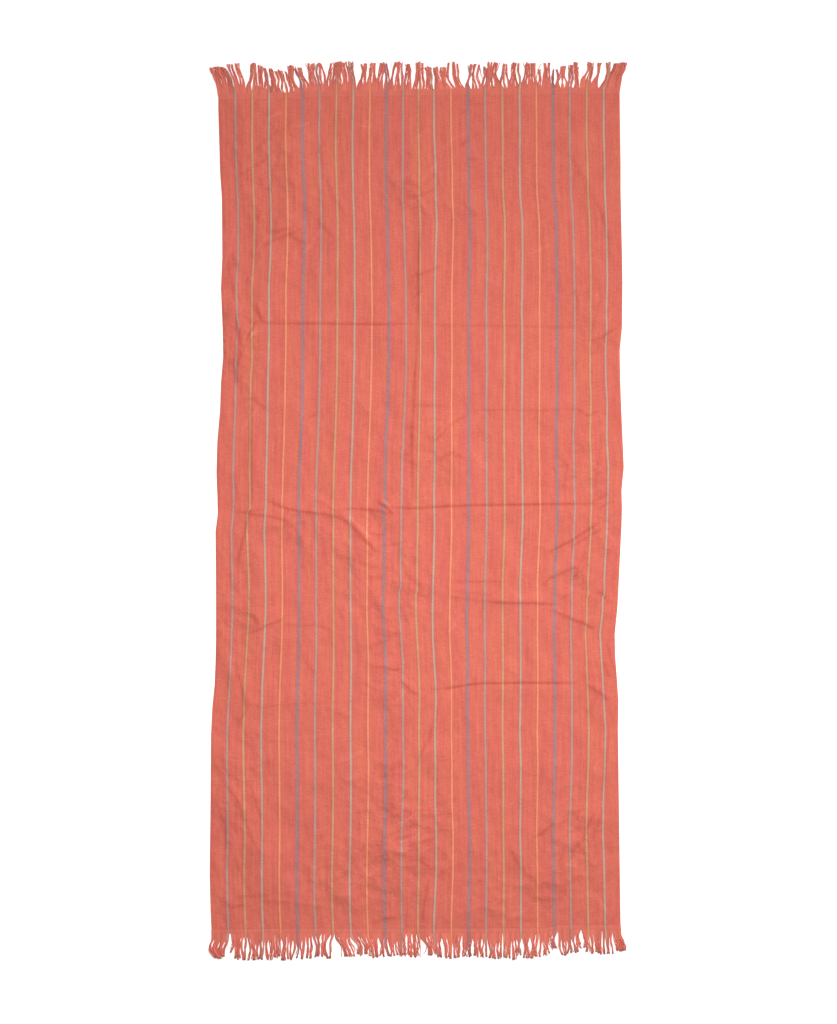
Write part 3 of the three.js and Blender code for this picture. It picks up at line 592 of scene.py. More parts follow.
def flat_slab(columns, rows, finer_top=True):
    """A closed slab of columns by rows, one unit each way, centred, with twice the cells on top."""
    mesh = bmesh.new()
    bmesh.ops.create_grid(mesh, x_segments=columns, y_segments=rows, size=0.5)
    grown = bmesh.ops.extrude_face_region(mesh, geom=mesh.faces[:])
    top = [item for item in grown["geom"] if isinstance(item, bmesh.types.BMVert)]
    bmesh.ops.translate(mesh, verts=top, vec=(0, 0, 1))
    if finer_top:
        edges = [edge for edge in mesh.edges if all(corner.co.z > 0.5 for corner in edge.verts)]
        bmesh.ops.subdivide_edges(mesh, edges=edges, cuts=1, use_grid_fill=True)
    bmesh.ops.recalc_face_normals(mesh, faces=mesh.faces[:])
    for edge in mesh.edges:
        edge.smooth = edge.calc_face_angle() < SHARP_ANGLE
    return mesh


def to_object(mesh, name, smooth=True):
    """Turn a bmesh into an object of the scene."""
    data = bpy.data.meshes.new(name)
    mesh.to_mesh(data)
    mesh.free()
    if smooth:
        data.shade_smooth()
    thing = bpy.data.objects.new(name, data)
    bpy.context.scene.collection.objects.link(thing)
    return thing


def read_points(data):
    points = np.empty(len(data.vertices) * 3)
    data.vertices.foreach_get("co", points)
    return points.reshape(-1, 3)


def write_points(data, x, y, z):
    """Move every corner of a mesh to a place given in millimetres of the tables."""
    points = np.stack([(x + SHIFT_X) * MM, (y + SHIFT_Y) * MM, z * MM], axis=1)
    data.vertices.foreach_set("co", points.ravel())
    data.update()


def write_weave(data, bay, along):
    """Lay the weave on a mesh: a UV map of bays across and metres along."""
    layer = data.uv_layers.new(name="weave")
    corners = np.empty(len(data.loops), dtype=np.int32)
    data.loops.foreach_get("vertex_index", corners)
    pairs = np.stack([bay, along * MM], axis=1)[corners]
    layer.data.foreach_set("uv", pairs.ravel())


def write_number(data, name, values):
    layer = data.attributes.new(name=name, type="FLOAT", domain="POINT")
    layer.data.foreach_set("value", values)


# %% Shape the cloth
columns = (len(column_lines) - 1) // 2
rows = (len(row_lines) - 1) // 2
cloth = to_object(flat_slab(columns, rows), "cloth")
unit = read_points(cloth.data)
column_index = np.rint((unit[:, 0] + 0.5) * columns * 2).astype(int)
row_index = np.rint((unit[:, 1] + 0.5) * rows * 2).astype(int)
on_top = unit[:, 2] > 0.5
bay = column_bays[column_index]
level = row_lines[row_index]

x = across_place(bay, level)
share = (level - row_lines[0]) / (row_lines[-1] - row_lines[0])
near_off = (read(NEAR_END, x) - row_lines[0]) * (1 - share)
far_off = (read(FAR_END, x) - row_lines[-1]) * share
y = level + near_off + far_off
broad, small, crease = cloth_form(x, y)

EDGE_ROUNDING = 4.0  # the edges thin out over this width
EDGE_SHARE = 0.55  # to this share of the thickness
from_edge = np.minimum(x - read(OUTLINE, y, 0), read(OUTLINE, y, 1) - x)
thinner = EDGE_SHARE + (1 - EDGE_SHARE) * smoothstep(from_edge, -0.5, EDGE_ROUNDING)
thickness = CLOTH_THICKNESS * thinner
z = broad + np.where(on_top, thickness + small, 0)
write_points(cloth.data, x, y, z)
write_weave(cloth.data, bay - stripe_pull(x, y) / BAY_WIDTH, y)
# the crease attribute is painted shade along the folds, and a painted highlight below zero
write_number(cloth.data, "crease", np.clip(crease, -1, 1))
write_number(cloth.data, "crumple", crumple_share(x, y))
print("cloth:", len(cloth.data.polygons), "faces, up to", round(z.max(), 2), "mm high")

# %% [markdown]
# ## The headings
# A heading is the last centimetre or so of flat weave, which keeps the weft from sliding off
# into the fringe. It is thinner than the brushed cloth. It could be part of the cloth's grid,
# but a slab of its own can have its own height and finish, and follows the cloth's end.
# A heading's row also says how its fringe hangs: `matted` is the share of their length over
# which the locks hold together, `spread` how much wider they end than in their table, and
# `tangle` how unruly the yarns are.

# %% Make the headings
Heading = namedtuple("Heading", "name end outward width matted spread tangle")
FAR = Heading("heading_far", FAR_END, 1, FAR_HEADING_WIDTH, (0.0, 0.4), 1.5, 1.1)
NEAR = Heading("heading_near", NEAR_END, -1, NEAR_HEADING_WIDTH, (0.15, 0.65), 1.85, 1.6)
HEADING_COLUMNS = 220
HEADING_ROWS = 5
PUCKER = 0.12  # millimetres; the outer edge waves up and down by this much
PUCKER_WAVES = (0.11, 0.043)  # radians in a millimetre
PUCKER_START = 1.3
PUCKER_SHARE = 0.6  # share of the heading's width over which it grows


def heading_edge(heading, bay, share):
    """Places on a heading, from the cloth at 0 to its outer edge at 1."""
    end_level = np.full_like(bay, read(heading.end, 0))
    x = across_place(bay, end_level)
    y = read(heading.end, x) + heading.outward * (SEAM_GAP + heading.width) * share
    return x, y


def make_heading(heading):
    thing = to_object(flat_slab(HEADING_COLUMNS, HEADING_ROWS, finer_top=False), heading.name)
    unit = read_points(thing.data)
    bay = (unit[:, 0] + 0.5) * BAYS
    share = unit[:, 1] + 0.5 if heading.outward > 0 else 0.5 - unit[:, 1]
    x, y = heading_edge(heading, bay, share)
    waves = np.sin(x * PUCKER_WAVES[0] + PUCKER_START) + np.sin(x * PUCKER_WAVES[1])
    pucker = PUCKER * waves * smoothstep(share, 0, PUCKER_SHARE)
    thickness = np.where(unit[:, 2] > 0.5, HEADING_THICKNESS, 0)
    z = HEADING_UNDERSIDE + np.maximum(pucker, 0) + thickness
    write_points(thing.data, x, y, z)
    write_weave(thing.data, bay, y)
    return thing


headings = {heading.name: make_heading(heading) for heading in (FAR, NEAR)}
print("headings:", list(headings))

# %% [markdown]
# ## The fringe
# The warp yarns run on past the heading and hang together in locks after washing. Each row
# is a lock, from left to right: its root runs from the lock before it to `root_to`, its tip
# spans `tip_from` to `tip_to` at `reach`, and `bow` carries its middle sideways. `open` parts its
# yarns in the middle, which leaves the eye-shaped holes that washed fringe has. `matted` is the
# share of its length over which the lock holds together, where that is more than its fringe's.

# %% Locks
Lock = namedtuple("Lock", "root_to tip_from tip_to reach bow open matted", defaults=[0])
FAR_LOCKS = [Lock(*row) for row in (
    (-402, -459, -424, 983, 0, 0, 0.5), (-390, -420, -409, 989, 0, 0, 0.5),
    (-379, -407, -391, 991, 0, 1, 0.45), (-354, -370, -357, 991, 0, 2),
    (-341, -354, -343, 987, 0, 0), (-323, -340, -336, 979, 3, 0), (-303, -328, -321, 979, 4, 0),
    (-279, -316, -290, 977, 6, 6), (-259, -286, -275, 986, 2, 0), (-237, -272, -255, 981, 2, 2),
    (-219, -241, -230, 991, 0, 0), (-202, -222, -215, 991, 0, 0), (-192, -192, -187, 991, -2, 0),
    (-159, -183, -164, 995, 0, 0), (-135, -162, -144, 996, 0, 0), (-113, -124, -113, 991, 0, 0),
    (-89, -106, -93, 991, 0, 0), (-60, -82, -69, 993, 0, 2), (-31, -49, -33, 995, 0, 0),
    (-13, -24, -18, 990, 0, 0), (16, -4, 11, 996, 0, 3), (38, 16, 31, 983, 0, 0),
    (62, 35, 51, 982, 0, 0), (78, 53, 60, 983, 0, 0), (106, 69, 89, 993, 0, 0),
    (140, 115, 137, 989, -3, 7), (155, 146, 151, 983, 0, 0), (171, 158, 165, 995, -2, 0),
    (186, 169, 176, 995, -3, 0), (204, 188, 199, 990, -3, 5), (230, 208, 224, 992, 0, 2),
    (250, 239, 248, 991, 0, 0), (266, 253, 261, 991, 0, 0), (275, 266, 272, 977, 0, 0),
    (297, 279, 292, 992, 0, 0), (312, 299, 308, 977, 0, 0), (330, 317, 330, 986, -3, 7),
    (343, 333, 341, 988, 2, 0), (359, 348, 355, 995, 2, 0), (383, 377, 390, 995, 0, 0),
    (399, 399, 406, 992, 0, 0), (414, 419, 426, 995, 0, 0), (448, 437, 463, 992, 0, 0, 0.5),
)]
NEAR_LOCKS = [Lock(*row) for row in (
    (-423, -452, -428, -989, -11, 0, 0.45), (-408, -427, -412, -981, 0, 4),
    (-390, -405, -394, -992, 0, 0), (-377, -388, -379, -997, 0, 0),
    (-365, -374, -365, -995, 0, 0), (-350, -362, -352, -997, 0, 0),
    (-337, -350, -341, -997, 0, 0), (-321, -332, -323, -995, 0, 0),
    (-303, -317, -306, -988, 0, 2), (-288, -301, -290, -995, 0, 0),
    (-270, -286, -277, -995, 0, 0), (-248, -268, -253, -992, 0, 0),
    (-233, -242, -235, -990, 0, 0), (-219, -231, -222, -988, 0, 0),
    (-199, -217, -204, -986, 0, 3), (-184, -199, -188, -992, 0, 0),
    (-168, -163, -154, -986, 0, 0), (-151, -151, -142, -986, 0, 0),
    (-120, -133, -113, -981, 4, 0), (-82, -102, -84, -988, 0, 0), (-66, -75, -64, -986, 0, 0),
    (-51, -60, -51, -986, 0, 0), (-33, -44, -33, -986, 0, 0), (-18, -28, -20, -983, 0, 0),
    (4, -16, 0, -988, 0, 4), (33, 27, 42, -983, 0, 0), (53, 44, 58, -988, 0, 0),
    (71, 61, 70, -988, 0, 0), (86, 73, 84, -992, 0, 0), (104, 89, 102, -988, 0, 0),
    (122, 106, 120, -986, 0, 0), (144, 124, 140, -986, 0, 0), (155, 144, 152, -988, 0, 0),
    (168, 159, 170, -990, 0, 0), (182, 172, 182, -992, 0, 0), (195, 185, 196, -988, 0, 2),
    (208, 199, 208, -990, 0, 0), (219, 211, 219, -995, 0, 0), (230, 222, 229, -983, 0, 0),
    (241, 235, 244, -990, 0, 0), (257, 247, 256, -990, 0, 0), (275, 259, 271, -988, 0, 3),
    (292, 282, 292, -983, 0, 0), (312, 296, 304, -968, 0, 0), (330, 320, 330, -983, 0, 0),
    (341, 332, 338, -979, 0, 0), (357, 348, 357, -979, 0, 0), (368, 361, 368, -968, 0, 0),
    (381, 372, 383, -975, 0, 0), (396, 386, 397, -979, 0, 0), (421, 400, 420, -981, 0, 2),
    (431, 424, 434, -981, 0, 0), (450, 441, 461, -973, 0, 0, 0.4),
)]
print("locks:", len(FAR_LOCKS), "far,", len(NEAR_LOCKS), "near")

# %% [markdown]
# A comb of straight yarns comes first: one five-sided yarn, doubled over and over until there
# are enough. In the comb, a corner's place across tells which yarn it belongs to, and its
# height tells how far along the yarn it is. That is all a function needs to bend the comb into
# locks.

# %% The comb
YARN_PITCH = 1.0  # of heading to each yarn
YARN_SIDES = 5
YARN_RINGS = 11
COMB_ROOT = 0.4  # radius of a yarn in the comb, where one unit is the way to the next yarn
COMB_TIP = 0.34


def yarn_comb(count):
    """Straight yarns one unit long and one unit apart, standing in a row."""
    mesh = bmesh.new()
    bmesh.ops.create_cone(
        mesh, cap_ends=True, cap_tris=False, segments=YARN_SIDES,
        radius1=COMB_ROOT, radius2=COMB_TIP, depth=1,
    )
    tall = [edge for edge in mesh.edges if abs(edge.verts[0].co.z - edge.verts[1].co.z) > 0.5]
    bmesh.ops.subdivide_edges(mesh, edges=tall, cuts=YARN_RINGS, use_grid_fill=True)
    made = 1
    while made < count:
        copied = bmesh.ops.duplicate(mesh, geom=mesh.verts[:] + mesh.edges[:] + mesh.faces[:])
        corners = [item for item in copied["geom"] if isinstance(item, bmesh.types.BMVert)]
        bmesh.ops.translate(mesh, verts=corners, vec=(made, 0, 0))
        made *= 2
    spare = [corner for corner in mesh.verts if corner.co.x > count - 0.5]
    bmesh.ops.delete(mesh, geom=spare, context="VERTS")
    return mesh


# %% [markdown]
# Within a lock the yarns twist together into strands of about seven, and a strand is what one
# sees of the fringe. So each yarn runs from its own place in the heading to its strand, and
# winds round it. Cloth tools could hang them, but washed fringe lies where it fell, so tables
# and seeded chance place it. The strands are planned first, by lock.

# %% Plan the strands
STRAND_WIDTH = 6.5  # of heading to each strand
STRAND_RADIUS = 2.6
RADIUS_SHARE = (0.8, 1.15)
TIP_CLOSING = 0.76  # share of a lock's width that its strands take at the tip
TIP_WANDER = 1.1  # how far chance moves a tip sideways
TIP_GAIN = 2.8  # strands run on past the place where the lock looks solid
TIP_ROUNDING = 3.5  # the outer strands of a lock end this much sooner
FURTHEST_TIP = 996.5  # no tip runs past the solids' box
STRAND_WANDER = 1.8  # how far chance shortens a strand, and moves its middle
CURL = (0.3, 1.3)  # how far a strand snakes to each side, and how often
CURL_TURNS = (0.6, 1.5)
TWIST = (0.5, 1.4)  # turns in a strand
GATHERED = (0.25, 0.55)  # share of the length over which yarns close into a strand
STRAND_RISE = (0.9, 2.1)  # millimetres off the floor, halfway along
STRAND_TONE = (0.1, 1.1)
LEAN_EARLY = 0.35  # how much of a lock's lean comes before it parts from its neighbours
MATTED_LEAN = 1.2  # in a matted lock it is this many times its matted share
# the locks at the two corners are rolled into thick, dark, tidy clumps
CORNER_RADIUS = 4.2
CORNER_SPREAD = 1.25  # in place of the heading's spread
CORNER_TANGLE = 0.3  # and this share of its tangle
CORNER_SHADE = 0.25
CORNER_RISE = 1.4


def plan_strands(heading, locks, random):
    """Each strand of a fringe: its lock, both its ends, and how it bends and twists."""
    left = read(OUTLINE, read(heading.end, 0), 0)
    stops = np.array([lock.root_to for lock in locks], float)
    starts = np.concatenate([[left], stops[:-1]])
    of_locks = dict(zip(Lock._fields, np.array(locks, float).T))
    shares = np.maximum(1, np.rint((stops - starts) / STRAND_WIDTH)).astype(int)
    lock = np.repeat(np.arange(len(locks)), shares)
    first = np.cumsum(shares) - shares
    count = len(lock)
    corner = (lock == 0) | (lock == len(locks) - 1)
    spot = (np.arange(count) - first[lock] + 0.5) / shares[lock]
    by_strand = {key: values[lock] for key, values in of_locks.items()}
    loose = heading.tangle * np.where(corner, CORNER_TANGLE, 1)
    tip_width = by_strand["tip_to"] - by_strand["tip_from"]
    tip_width *= np.where(corner, CORNER_SPREAD, heading.spread)

    plan = SimpleNamespace(
        left=left, right=stops[-1], starts=starts, stops=stops,
        shares=shares, first=first, corner=corner, count=count,
    )
    plan.lock_root = ((starts + stops) / 2)[lock]
    plan.lock_tip = (by_strand["tip_from"] + by_strand["tip_to"]) / 2
    plan.root = starts[lock] + (stops - starts)[lock] * spot
    plan.tip = plan.lock_tip + tip_width * TIP_CLOSING * (spot - 0.5)
    plan.tip += random.normal(0, TIP_WANDER, count) * loose
    plan.reach = np.minimum(np.abs(by_strand["reach"]) + TIP_GAIN, FURTHEST_TIP)
    plan.reach -= TIP_ROUNDING * (2 * spot - 1) ** 2 + np.abs(random.normal(0, STRAND_WANDER, count))
    plan.reach *= heading.outward
    plan.bow = by_strand["bow"] + random.normal(0, STRAND_WANDER, count) * loose
    plan.opening = by_strand["open"] * np.sign(spot - 0.5)
    plan.curl = random.uniform(*CURL, count)
    plan.curl_turns = random.uniform(*CURL_TURNS, count)
    plan.curl_phase = random.uniform(0, math.tau, count)
    plan.twist = random.uniform(*TWIST, count) * random.choice([-1, 1], count)
    plan.gathered = random.uniform(*GATHERED, count)
    matted = np.maximum(of_locks["matted"], random.uniform(*heading.matted, len(locks)))
    plan.matted = matted[lock]
    plan.lean_early = np.maximum(by_strand["matted"] * MATTED_LEAN, LEAN_EARLY)
    plan.rise = random.uniform(*STRAND_RISE, count) + corner * random.uniform(0, CORNER_RISE, count)
    plain_radius = STRAND_RADIUS * random.uniform(*RADIUS_SHARE, count)
    plan.radius = np.where(corner, CORNER_RADIUS, plain_radius)
    plan.tone = random.uniform(*STRAND_TONE, count) - CORNER_SHADE * corner
    return plan


# %% [markdown]
# Then each yarn gets its place in a strand. A few stray out of it, and a few are worn short.

# %% Plan the yarns
RING = (0.45, 1)  # a yarn's place in its strand, from the middle outwards
PLACE_WANDER = 0.5  # radians round the strand
SHORT_WANDER = 1.0
WORN_SHARE = 0.06  # of the yarns are worn shorter
WORN_SHORT = 8
STRAY_SHARE = 0.05  # of the yarns stray out of their strand
STRAY_REACH = 7


def plan_yarns(heading, strands, count, random):
    """Each yarn of a fringe: its root, its strand, and how it differs from its neighbours."""
    plan = SimpleNamespace()
    plan.root = strands.left + (np.arange(count) + 0.5) * (strands.right - strands.left) / count
    lock = np.searchsorted(strands.stops, plan.root)
    share = (plan.root - strands.starts[lock]) / (strands.stops - strands.starts)[lock]
    within = share * strands.shares[lock]
    plan.strand = strands.first[lock] + np.minimum(within.astype(int), strands.shares[lock] - 1)
    plan.corner = strands.corner[plan.strand]
    plan.angle = math.tau * (within % 1) + random.normal(0, PLACE_WANDER, count)
    plan.ring = random.uniform(*RING, count)
    plan.short = np.abs(random.normal(0, SHORT_WANDER, count))
    plan.short += WORN_SHORT * (random.random(count) < WORN_SHARE)
    astray = (random.random(count) < STRAY_SHARE * heading.tangle) & ~plan.corner
    plan.stray = np.where(astray, random.normal(0, STRAY_REACH, count), 0)
    plan.phase = random.uniform(0, math.tau, count)
    return plan


# %% [markdown]
# Last, the comb is bent along the plans. `s` runs from 0 at the root to 1 at the tip, `parted`
# tells how far a lock has left its neighbours, and `gather` how far its yarns have closed into
# a strand.

# %% Bend the comb into a fringe
YARN_START = 8  # the yarns begin this far inside the heading's outer edge
YARN_RADIUS = 1.2
MEAN_THICKNESS = 0.85  # a yarn is thick and thin by turns
THICKENING = 0.2
THICK_TURNS = 9  # radians along the yarn
CORNER_THICKER = 2.2  # the corner locks' yarns are this much thicker
PARTING = 0.45  # share of the length over which a lock parts from its neighbours
GATHER_START = 0.6  # share of the matted length at which its yarns begin to close
OPENING_LENGTH = 1.5  # an opening has closed again where s times this is 1
OPENING_SHARE = 0.6
WAVE = 0.35  # each yarn waves a little from side to side
WAVE_TURNS = 16  # radians along the yarn
RISE_POWER = 0.6  # below 1 a strand rises at once, and then runs level
FLATTENED = 0.55  # a strand is lower than it is wide
ROOT_HEIGHT = 0.55  # inside the heading
FLOOR_GAP = 0.05  # no yarn goes lower
PAINTED_TIP_SHADE = 0.1  # painted shade: how much darker a yarn's tip is than its root
STRAND_TONE_SHARE = 0.65  # the rest of a yarn's tone is its own
LINE_STEPS = 241  # places at which the weave is read along a heading


def along_yarns(unit, heading, strands, yarns):
    """The comb's corners, bent into the fringe, in millimetres."""
    yarn = np.rint(unit[:, 0]).astype(int)
    s = unit[:, 2] + 0.5
    strand = yarns.strand[yarn]
    belly = np.sin(np.pi * s)
    matted = strands.matted[strand]
    parted = smoothstep(s, matted, matted + PARTING)
    gather = smoothstep(s, matted * GATHER_START, matted + strands.gathered[strand])
    twisted = yarns.angle[yarn] + math.tau * strands.twist[strand] * s
    around = yarns.ring[yarn] * strands.radius[strand]
    lean = strands.lean_early[strand] * s + (1 - strands.lean_early[strand]) * parted
    line = strands.lock_root[strand] + (strands.lock_tip - strands.lock_root)[strand] * lean
    line += (strands.root - strands.lock_root)[strand] * (1 - parted)
    line += (strands.tip - strands.lock_tip)[strand] * parted
    line += strands.bow[strand] * belly * gather
    opened = np.sin(np.pi * np.clip(s * OPENING_LENGTH, 0, 1)) ** 2
    line += strands.opening[strand] * opened * OPENING_SHARE
    curling = strands.curl_phase[strand] + math.tau * strands.curl_turns[strand] * s
    line += strands.curl[strand] * np.sin(curling) * gather
    x = line + (yarns.root[yarn] - strands.root[strand]) * (1 - gather)
    x += around * np.cos(twisted) * gather
    x += yarns.stray[yarn] * s * s + WAVE * np.sin(yarns.phase[yarn] + s * WAVE_TURNS) * gather

    inset = heading.width + SEAM_GAP - YARN_START
    base = read(heading.end, yarns.root) + heading.outward * inset
    end = strands.reach[strand] - heading.outward * yarns.short[yarn]
    y = base[yarn] + (end - base[yarn]) * s
    hump = strands.rise[strand] * belly ** RISE_POWER + YARN_RADIUS
    height = ROOT_HEIGHT * (1 - gather) + hump * gather
    height += around * np.sin(twisted) * gather * FLATTENED

    thick = YARN_RADIUS * (MEAN_THICKNESS + THICKENING * np.sin(yarns.phase[yarn] + s * THICK_TURNS))
    thick *= 1 + (CORNER_THICKER - 1) * yarns.corner[yarn] * gather
    x += (unit[:, 0] - yarn) / COMB_ROOT * thick
    z = np.maximum(height + unit[:, 1] / COMB_ROOT * thick, FLOOR_GAP)
    return x, y, z, yarn, s


def make_fringe(heading, locks, name, seed):
    """Yarns from one side of the heading to the other, gathered into locks."""
    random = np.random.default_rng(seed)
    strands = plan_strands(heading, locks, random)
    count = int((strands.right - strands.left) / YARN_PITCH)
    yarns = plan_yarns(heading, strands, count, random)
    thing = to_object(yarn_comb(count), name)
    x, y, z, yarn, s = along_yarns(read_points(thing.data), heading, strands, yarns)
    write_points(thing.data, x, y, z)
    bays = np.linspace(0, BAYS, LINE_STEPS)
    end_line = across_place(bays, np.full_like(bays, read(heading.end, 0)))
    write_weave(thing.data, np.interp(yarns.root, end_line, bays)[yarn], y)
    own_tone = random.uniform(0, 1, count)
    tone = STRAND_TONE_SHARE * strands.tone[yarns.strand] + (1 - STRAND_TONE_SHARE) * own_tone
    # each yarn darkens towards its tip with painted shade
    write_number(thing.data, "tone", tone[yarn] - PAINTED_TIP_SHADE * s)
    print(name + ":", count, "yarns in", strands.count, "strands and", len(locks), "locks")
    return thing


yarns_far = make_fringe(FAR, FAR_LOCKS, "yarns_far", 11)
yarns_near = make_fringe(NEAR, NEAR_LOCKS, "yarns_near", 23)

# %% [markdown]
# ## Finishes
# One effect, the pinstripes, is on cloth, headings and yarns alike, so it is a node group. It
# reads the weave's UV map, whose first number counts bays, so a stripe lies at every whole
# number. The colours repeat every five stripes. Each stripe is a few pale warp yarns, and the
# nap beside them lies lower, so its pale core sits between edges darkened with painted shade.


# %% Node helpers
def add(tree, kind, inputs=None, **properties):
    """Add a node: its properties by name, and its inputs as links or plain values."""
    node = tree.nodes.new(kind)
    for name, value in properties.items():
        setattr(node, name, value)
    for key, value in (inputs or {}).items():
        if isinstance(value, bpy.types.NodeSocket):
            tree.links.new(value, node.inputs[key])
        else:
            node.inputs[key].default_value = value
    return node


def calculate(tree, operation, *values):
    return add(tree, "ShaderNodeMath", dict(enumerate(values)), operation=operation).outputs[0]


def blend_colors(tree, kind, factor, first, second):
    inputs = {0: factor, 6: first, 7: second}
    return add(tree, "ShaderNodeMix", inputs, data_type="RGBA", blend_type=kind).outputs[2]


def noise(tree, vector, scale, detail, roughness=0.5):
    inputs = {"Vector": vector, "Scale": scale, "Detail": detail, "Roughness": roughness}
    return add(tree, "ShaderNodeTexNoise", inputs).outputs[0]


def stretched(tree, vector, scale):
    return add(tree, "ShaderNodeVectorMath", {0: vector, 1: scale}, operation="MULTIPLY").outputs[0]


def attribute(tree, name):
    return add(tree, "ShaderNodeAttribute", attribute_name=name).outputs["Fac"]


def new_group(name, takes, gives):
    """An empty node group and what comes into it. Each socket has a name and a kind."""
    tree = bpy.data.node_groups.new(name, "ShaderNodeTree")
    for way, sockets in (("INPUT", takes), ("OUTPUT", gives)):
        for socket, kind in sockets.items():
            tree.interface.new_socket(socket, in_out=way, socket_type="NodeSocket" + kind)
    return tree, add(tree, "NodeGroupInput").outputs


def new_material(name):
    material = bpy.data.materials.new(name)
    material.use_nodes = True
    material.node_tree.nodes.clear()
    return material, material.node_tree


def cover(tree, inputs):
    """A material's one shader, joined to its output."""
    shader = add(tree, "ShaderNodeBsdfPrincipled", inputs)
    add(tree, "ShaderNodeOutputMaterial", {"Surface": shader.outputs[0]})


# %% The pinstripe group
STRIPES = [  # colour of the core, its width in centimetres, colour of its edges in painted shade
    ((0.510, 0.275, 0.226), 0.37, (0.545, 0.165, 0.138)),  # grey teal
    ((0.600, 0.305, 0.170), 0.39, (0.600, 0.153, 0.103)),  # olive gold
    ((0.540, 0.338, 0.252), 0.39, (0.545, 0.162, 0.128)),  # pale mint
    ((0.820, 0.290, 0.162), 0.33, (0.640, 0.150, 0.095)),  # orange
    ((0.380, 0.195, 0.208), 0.46, (0.530, 0.162, 0.145)),  # violet blue
]
STRIPE_SHADED_EDGE = 0.22  # centimetres of painted shade beside the core
STRIPE_BLUR = 0.06


def stripe_ramp(tree, turn, colors):
    """A colour for each stripe of the repeat, whose alpha holds its width."""
    ramp = add(tree, "ShaderNodeValToRGB", {0: turn})
    ramp.color_ramp.interpolation = "CONSTANT"
    while len(ramp.color_ramp.elements) < len(colors):
        ramp.color_ramp.elements.new(0.5)
    for index, color in enumerate(colors):
        element = ramp.color_ramp.elements[index]
        element.position = index / len(colors)
        element.color = color
    return ramp.outputs


def stripe_mask(tree, half, offset):
    """One inside a stripe, zero outside it, with soft edges."""
    inside = calculate(tree, "SUBTRACT", half, offset)
    inputs = {"Value": inside, "From Min": -STRIPE_BLUR, "From Max": STRIPE_BLUR}
    return add(tree, "ShaderNodeMapRange", inputs, interpolation_type="SMOOTHSTEP").outputs[0]


def stripe_group():
    takes = {"Bay": "Float", "Wander": "Float"}
    tree, given = new_group("pinstripes", takes, {"Color": "Color", "Mask": "Float"})
    bay = given["Bay"]
    nearest = calculate(tree, "FLOOR", calculate(tree, "ADD", bay, 0.5))
    turn = calculate(tree, "ADD", nearest, len(STRIPES) - 0.5)
    turn = calculate(tree, "FRACT", calculate(tree, "DIVIDE", turn, len(STRIPES)))
    cores = stripe_ramp(tree, turn, [(*core, width) for core, width, edge in STRIPES])
    # painted shade: each stripe's darker edge colours
    edges = stripe_ramp(tree, turn, [(*edge, 1.0) for core, width, edge in STRIPES])
    offset = calculate(tree, "ABSOLUTE", calculate(tree, "SUBTRACT", bay, nearest))
    offset = calculate(tree, "MULTIPLY", offset, BAY_WIDTH / 10)
    offset = calculate(tree, "ADD", offset, given["Wander"])
    half = calculate(tree, "MULTIPLY", cores["Alpha"], 0.5)
    core = stripe_mask(tree, half, offset)
    whole = stripe_mask(tree, calculate(tree, "ADD", half, STRIPE_SHADED_EDGE), offset)
    color = blend_colors(tree, "MIX", core, edges["Color"], cores["Color"])
    on_cloth = calculate(tree, "MULTIPLY", calculate(tree, "GREATER_THAN", bay, 0.5), whole)
    on_cloth = calculate(tree, "MULTIPLY", calculate(tree, "LESS_THAN", bay, BAYS - 0.5), on_cloth)
    add(tree, "NodeGroupOutput", {"Color": color, "Mask": on_cloth})
    return tree


pinstripes = stripe_group()
print("stripes in the repeat:", len(STRIPES))

# %% [markdown]
# Cloth and headings share a second group, for the cotton itself. It puts out a tone and a
# warmth, both about 0.5, and a height in millimetres. Crumpled cloth is all small facets with a
# sharp line between them, which is how the distance to the nearest of many scattered points
# looks.

# %% The cotton group
GRAINS = {  # stretch across and along, grains in a metre, detail, roughness, share of the tone
    "threads": (1.0, 0.04, 420.0, 3.0, 0.5, 0.20),
    "wefts": (0.14, 1.0, 420.0, 2.0, 0.5, 0.16),
    "streaks": (1.0, 0.03, 150.0, 3.0, 0.5, 0.14),
    "patches": (1.0, 0.75, 30.0, 5.0, 0.68, 0.21),
    "clumps": (1.0, 0.8, 300.0, 2.0, 0.5, 0.29),
    "fibres": (1.0, 0.5, 1400.0, 2.0, 0.5, 0),
    "crinkles": (1.0, 0.5, 13.0, 3.0, 0.5, 0),
}
CRUMPLE_FACETS = ((15.0, 6.0), (40.0, 2.6))  # facets in a metre, height in millimetres
CRUMPLE_BEND = 0.5  # how far the facets' edges wander, in facets
CRUMPLE_WANDER = 1.6  # how often they do, in each facet
CRINKLE_HEIGHT = 13.0  # millimetres between its lowest and highest values
NAP_HEIGHT = 0.15


def crumpled(tree, place, scale):
    wander = noise(tree, place, scale * CRUMPLE_WANDER, 2.0)
    bend = calculate(tree, "MULTIPLY", wander, CRUMPLE_BEND / scale)
    bent = add(tree, "ShaderNodeVectorMath", {0: place, 1: bend}, operation="ADD").outputs[0]
    inputs = {"Vector": bent, "Scale": scale}
    facets = add(tree, "ShaderNodeTexVoronoi", inputs, feature="F1", voronoi_dimensions="2D")
    return facets.outputs["Distance"]


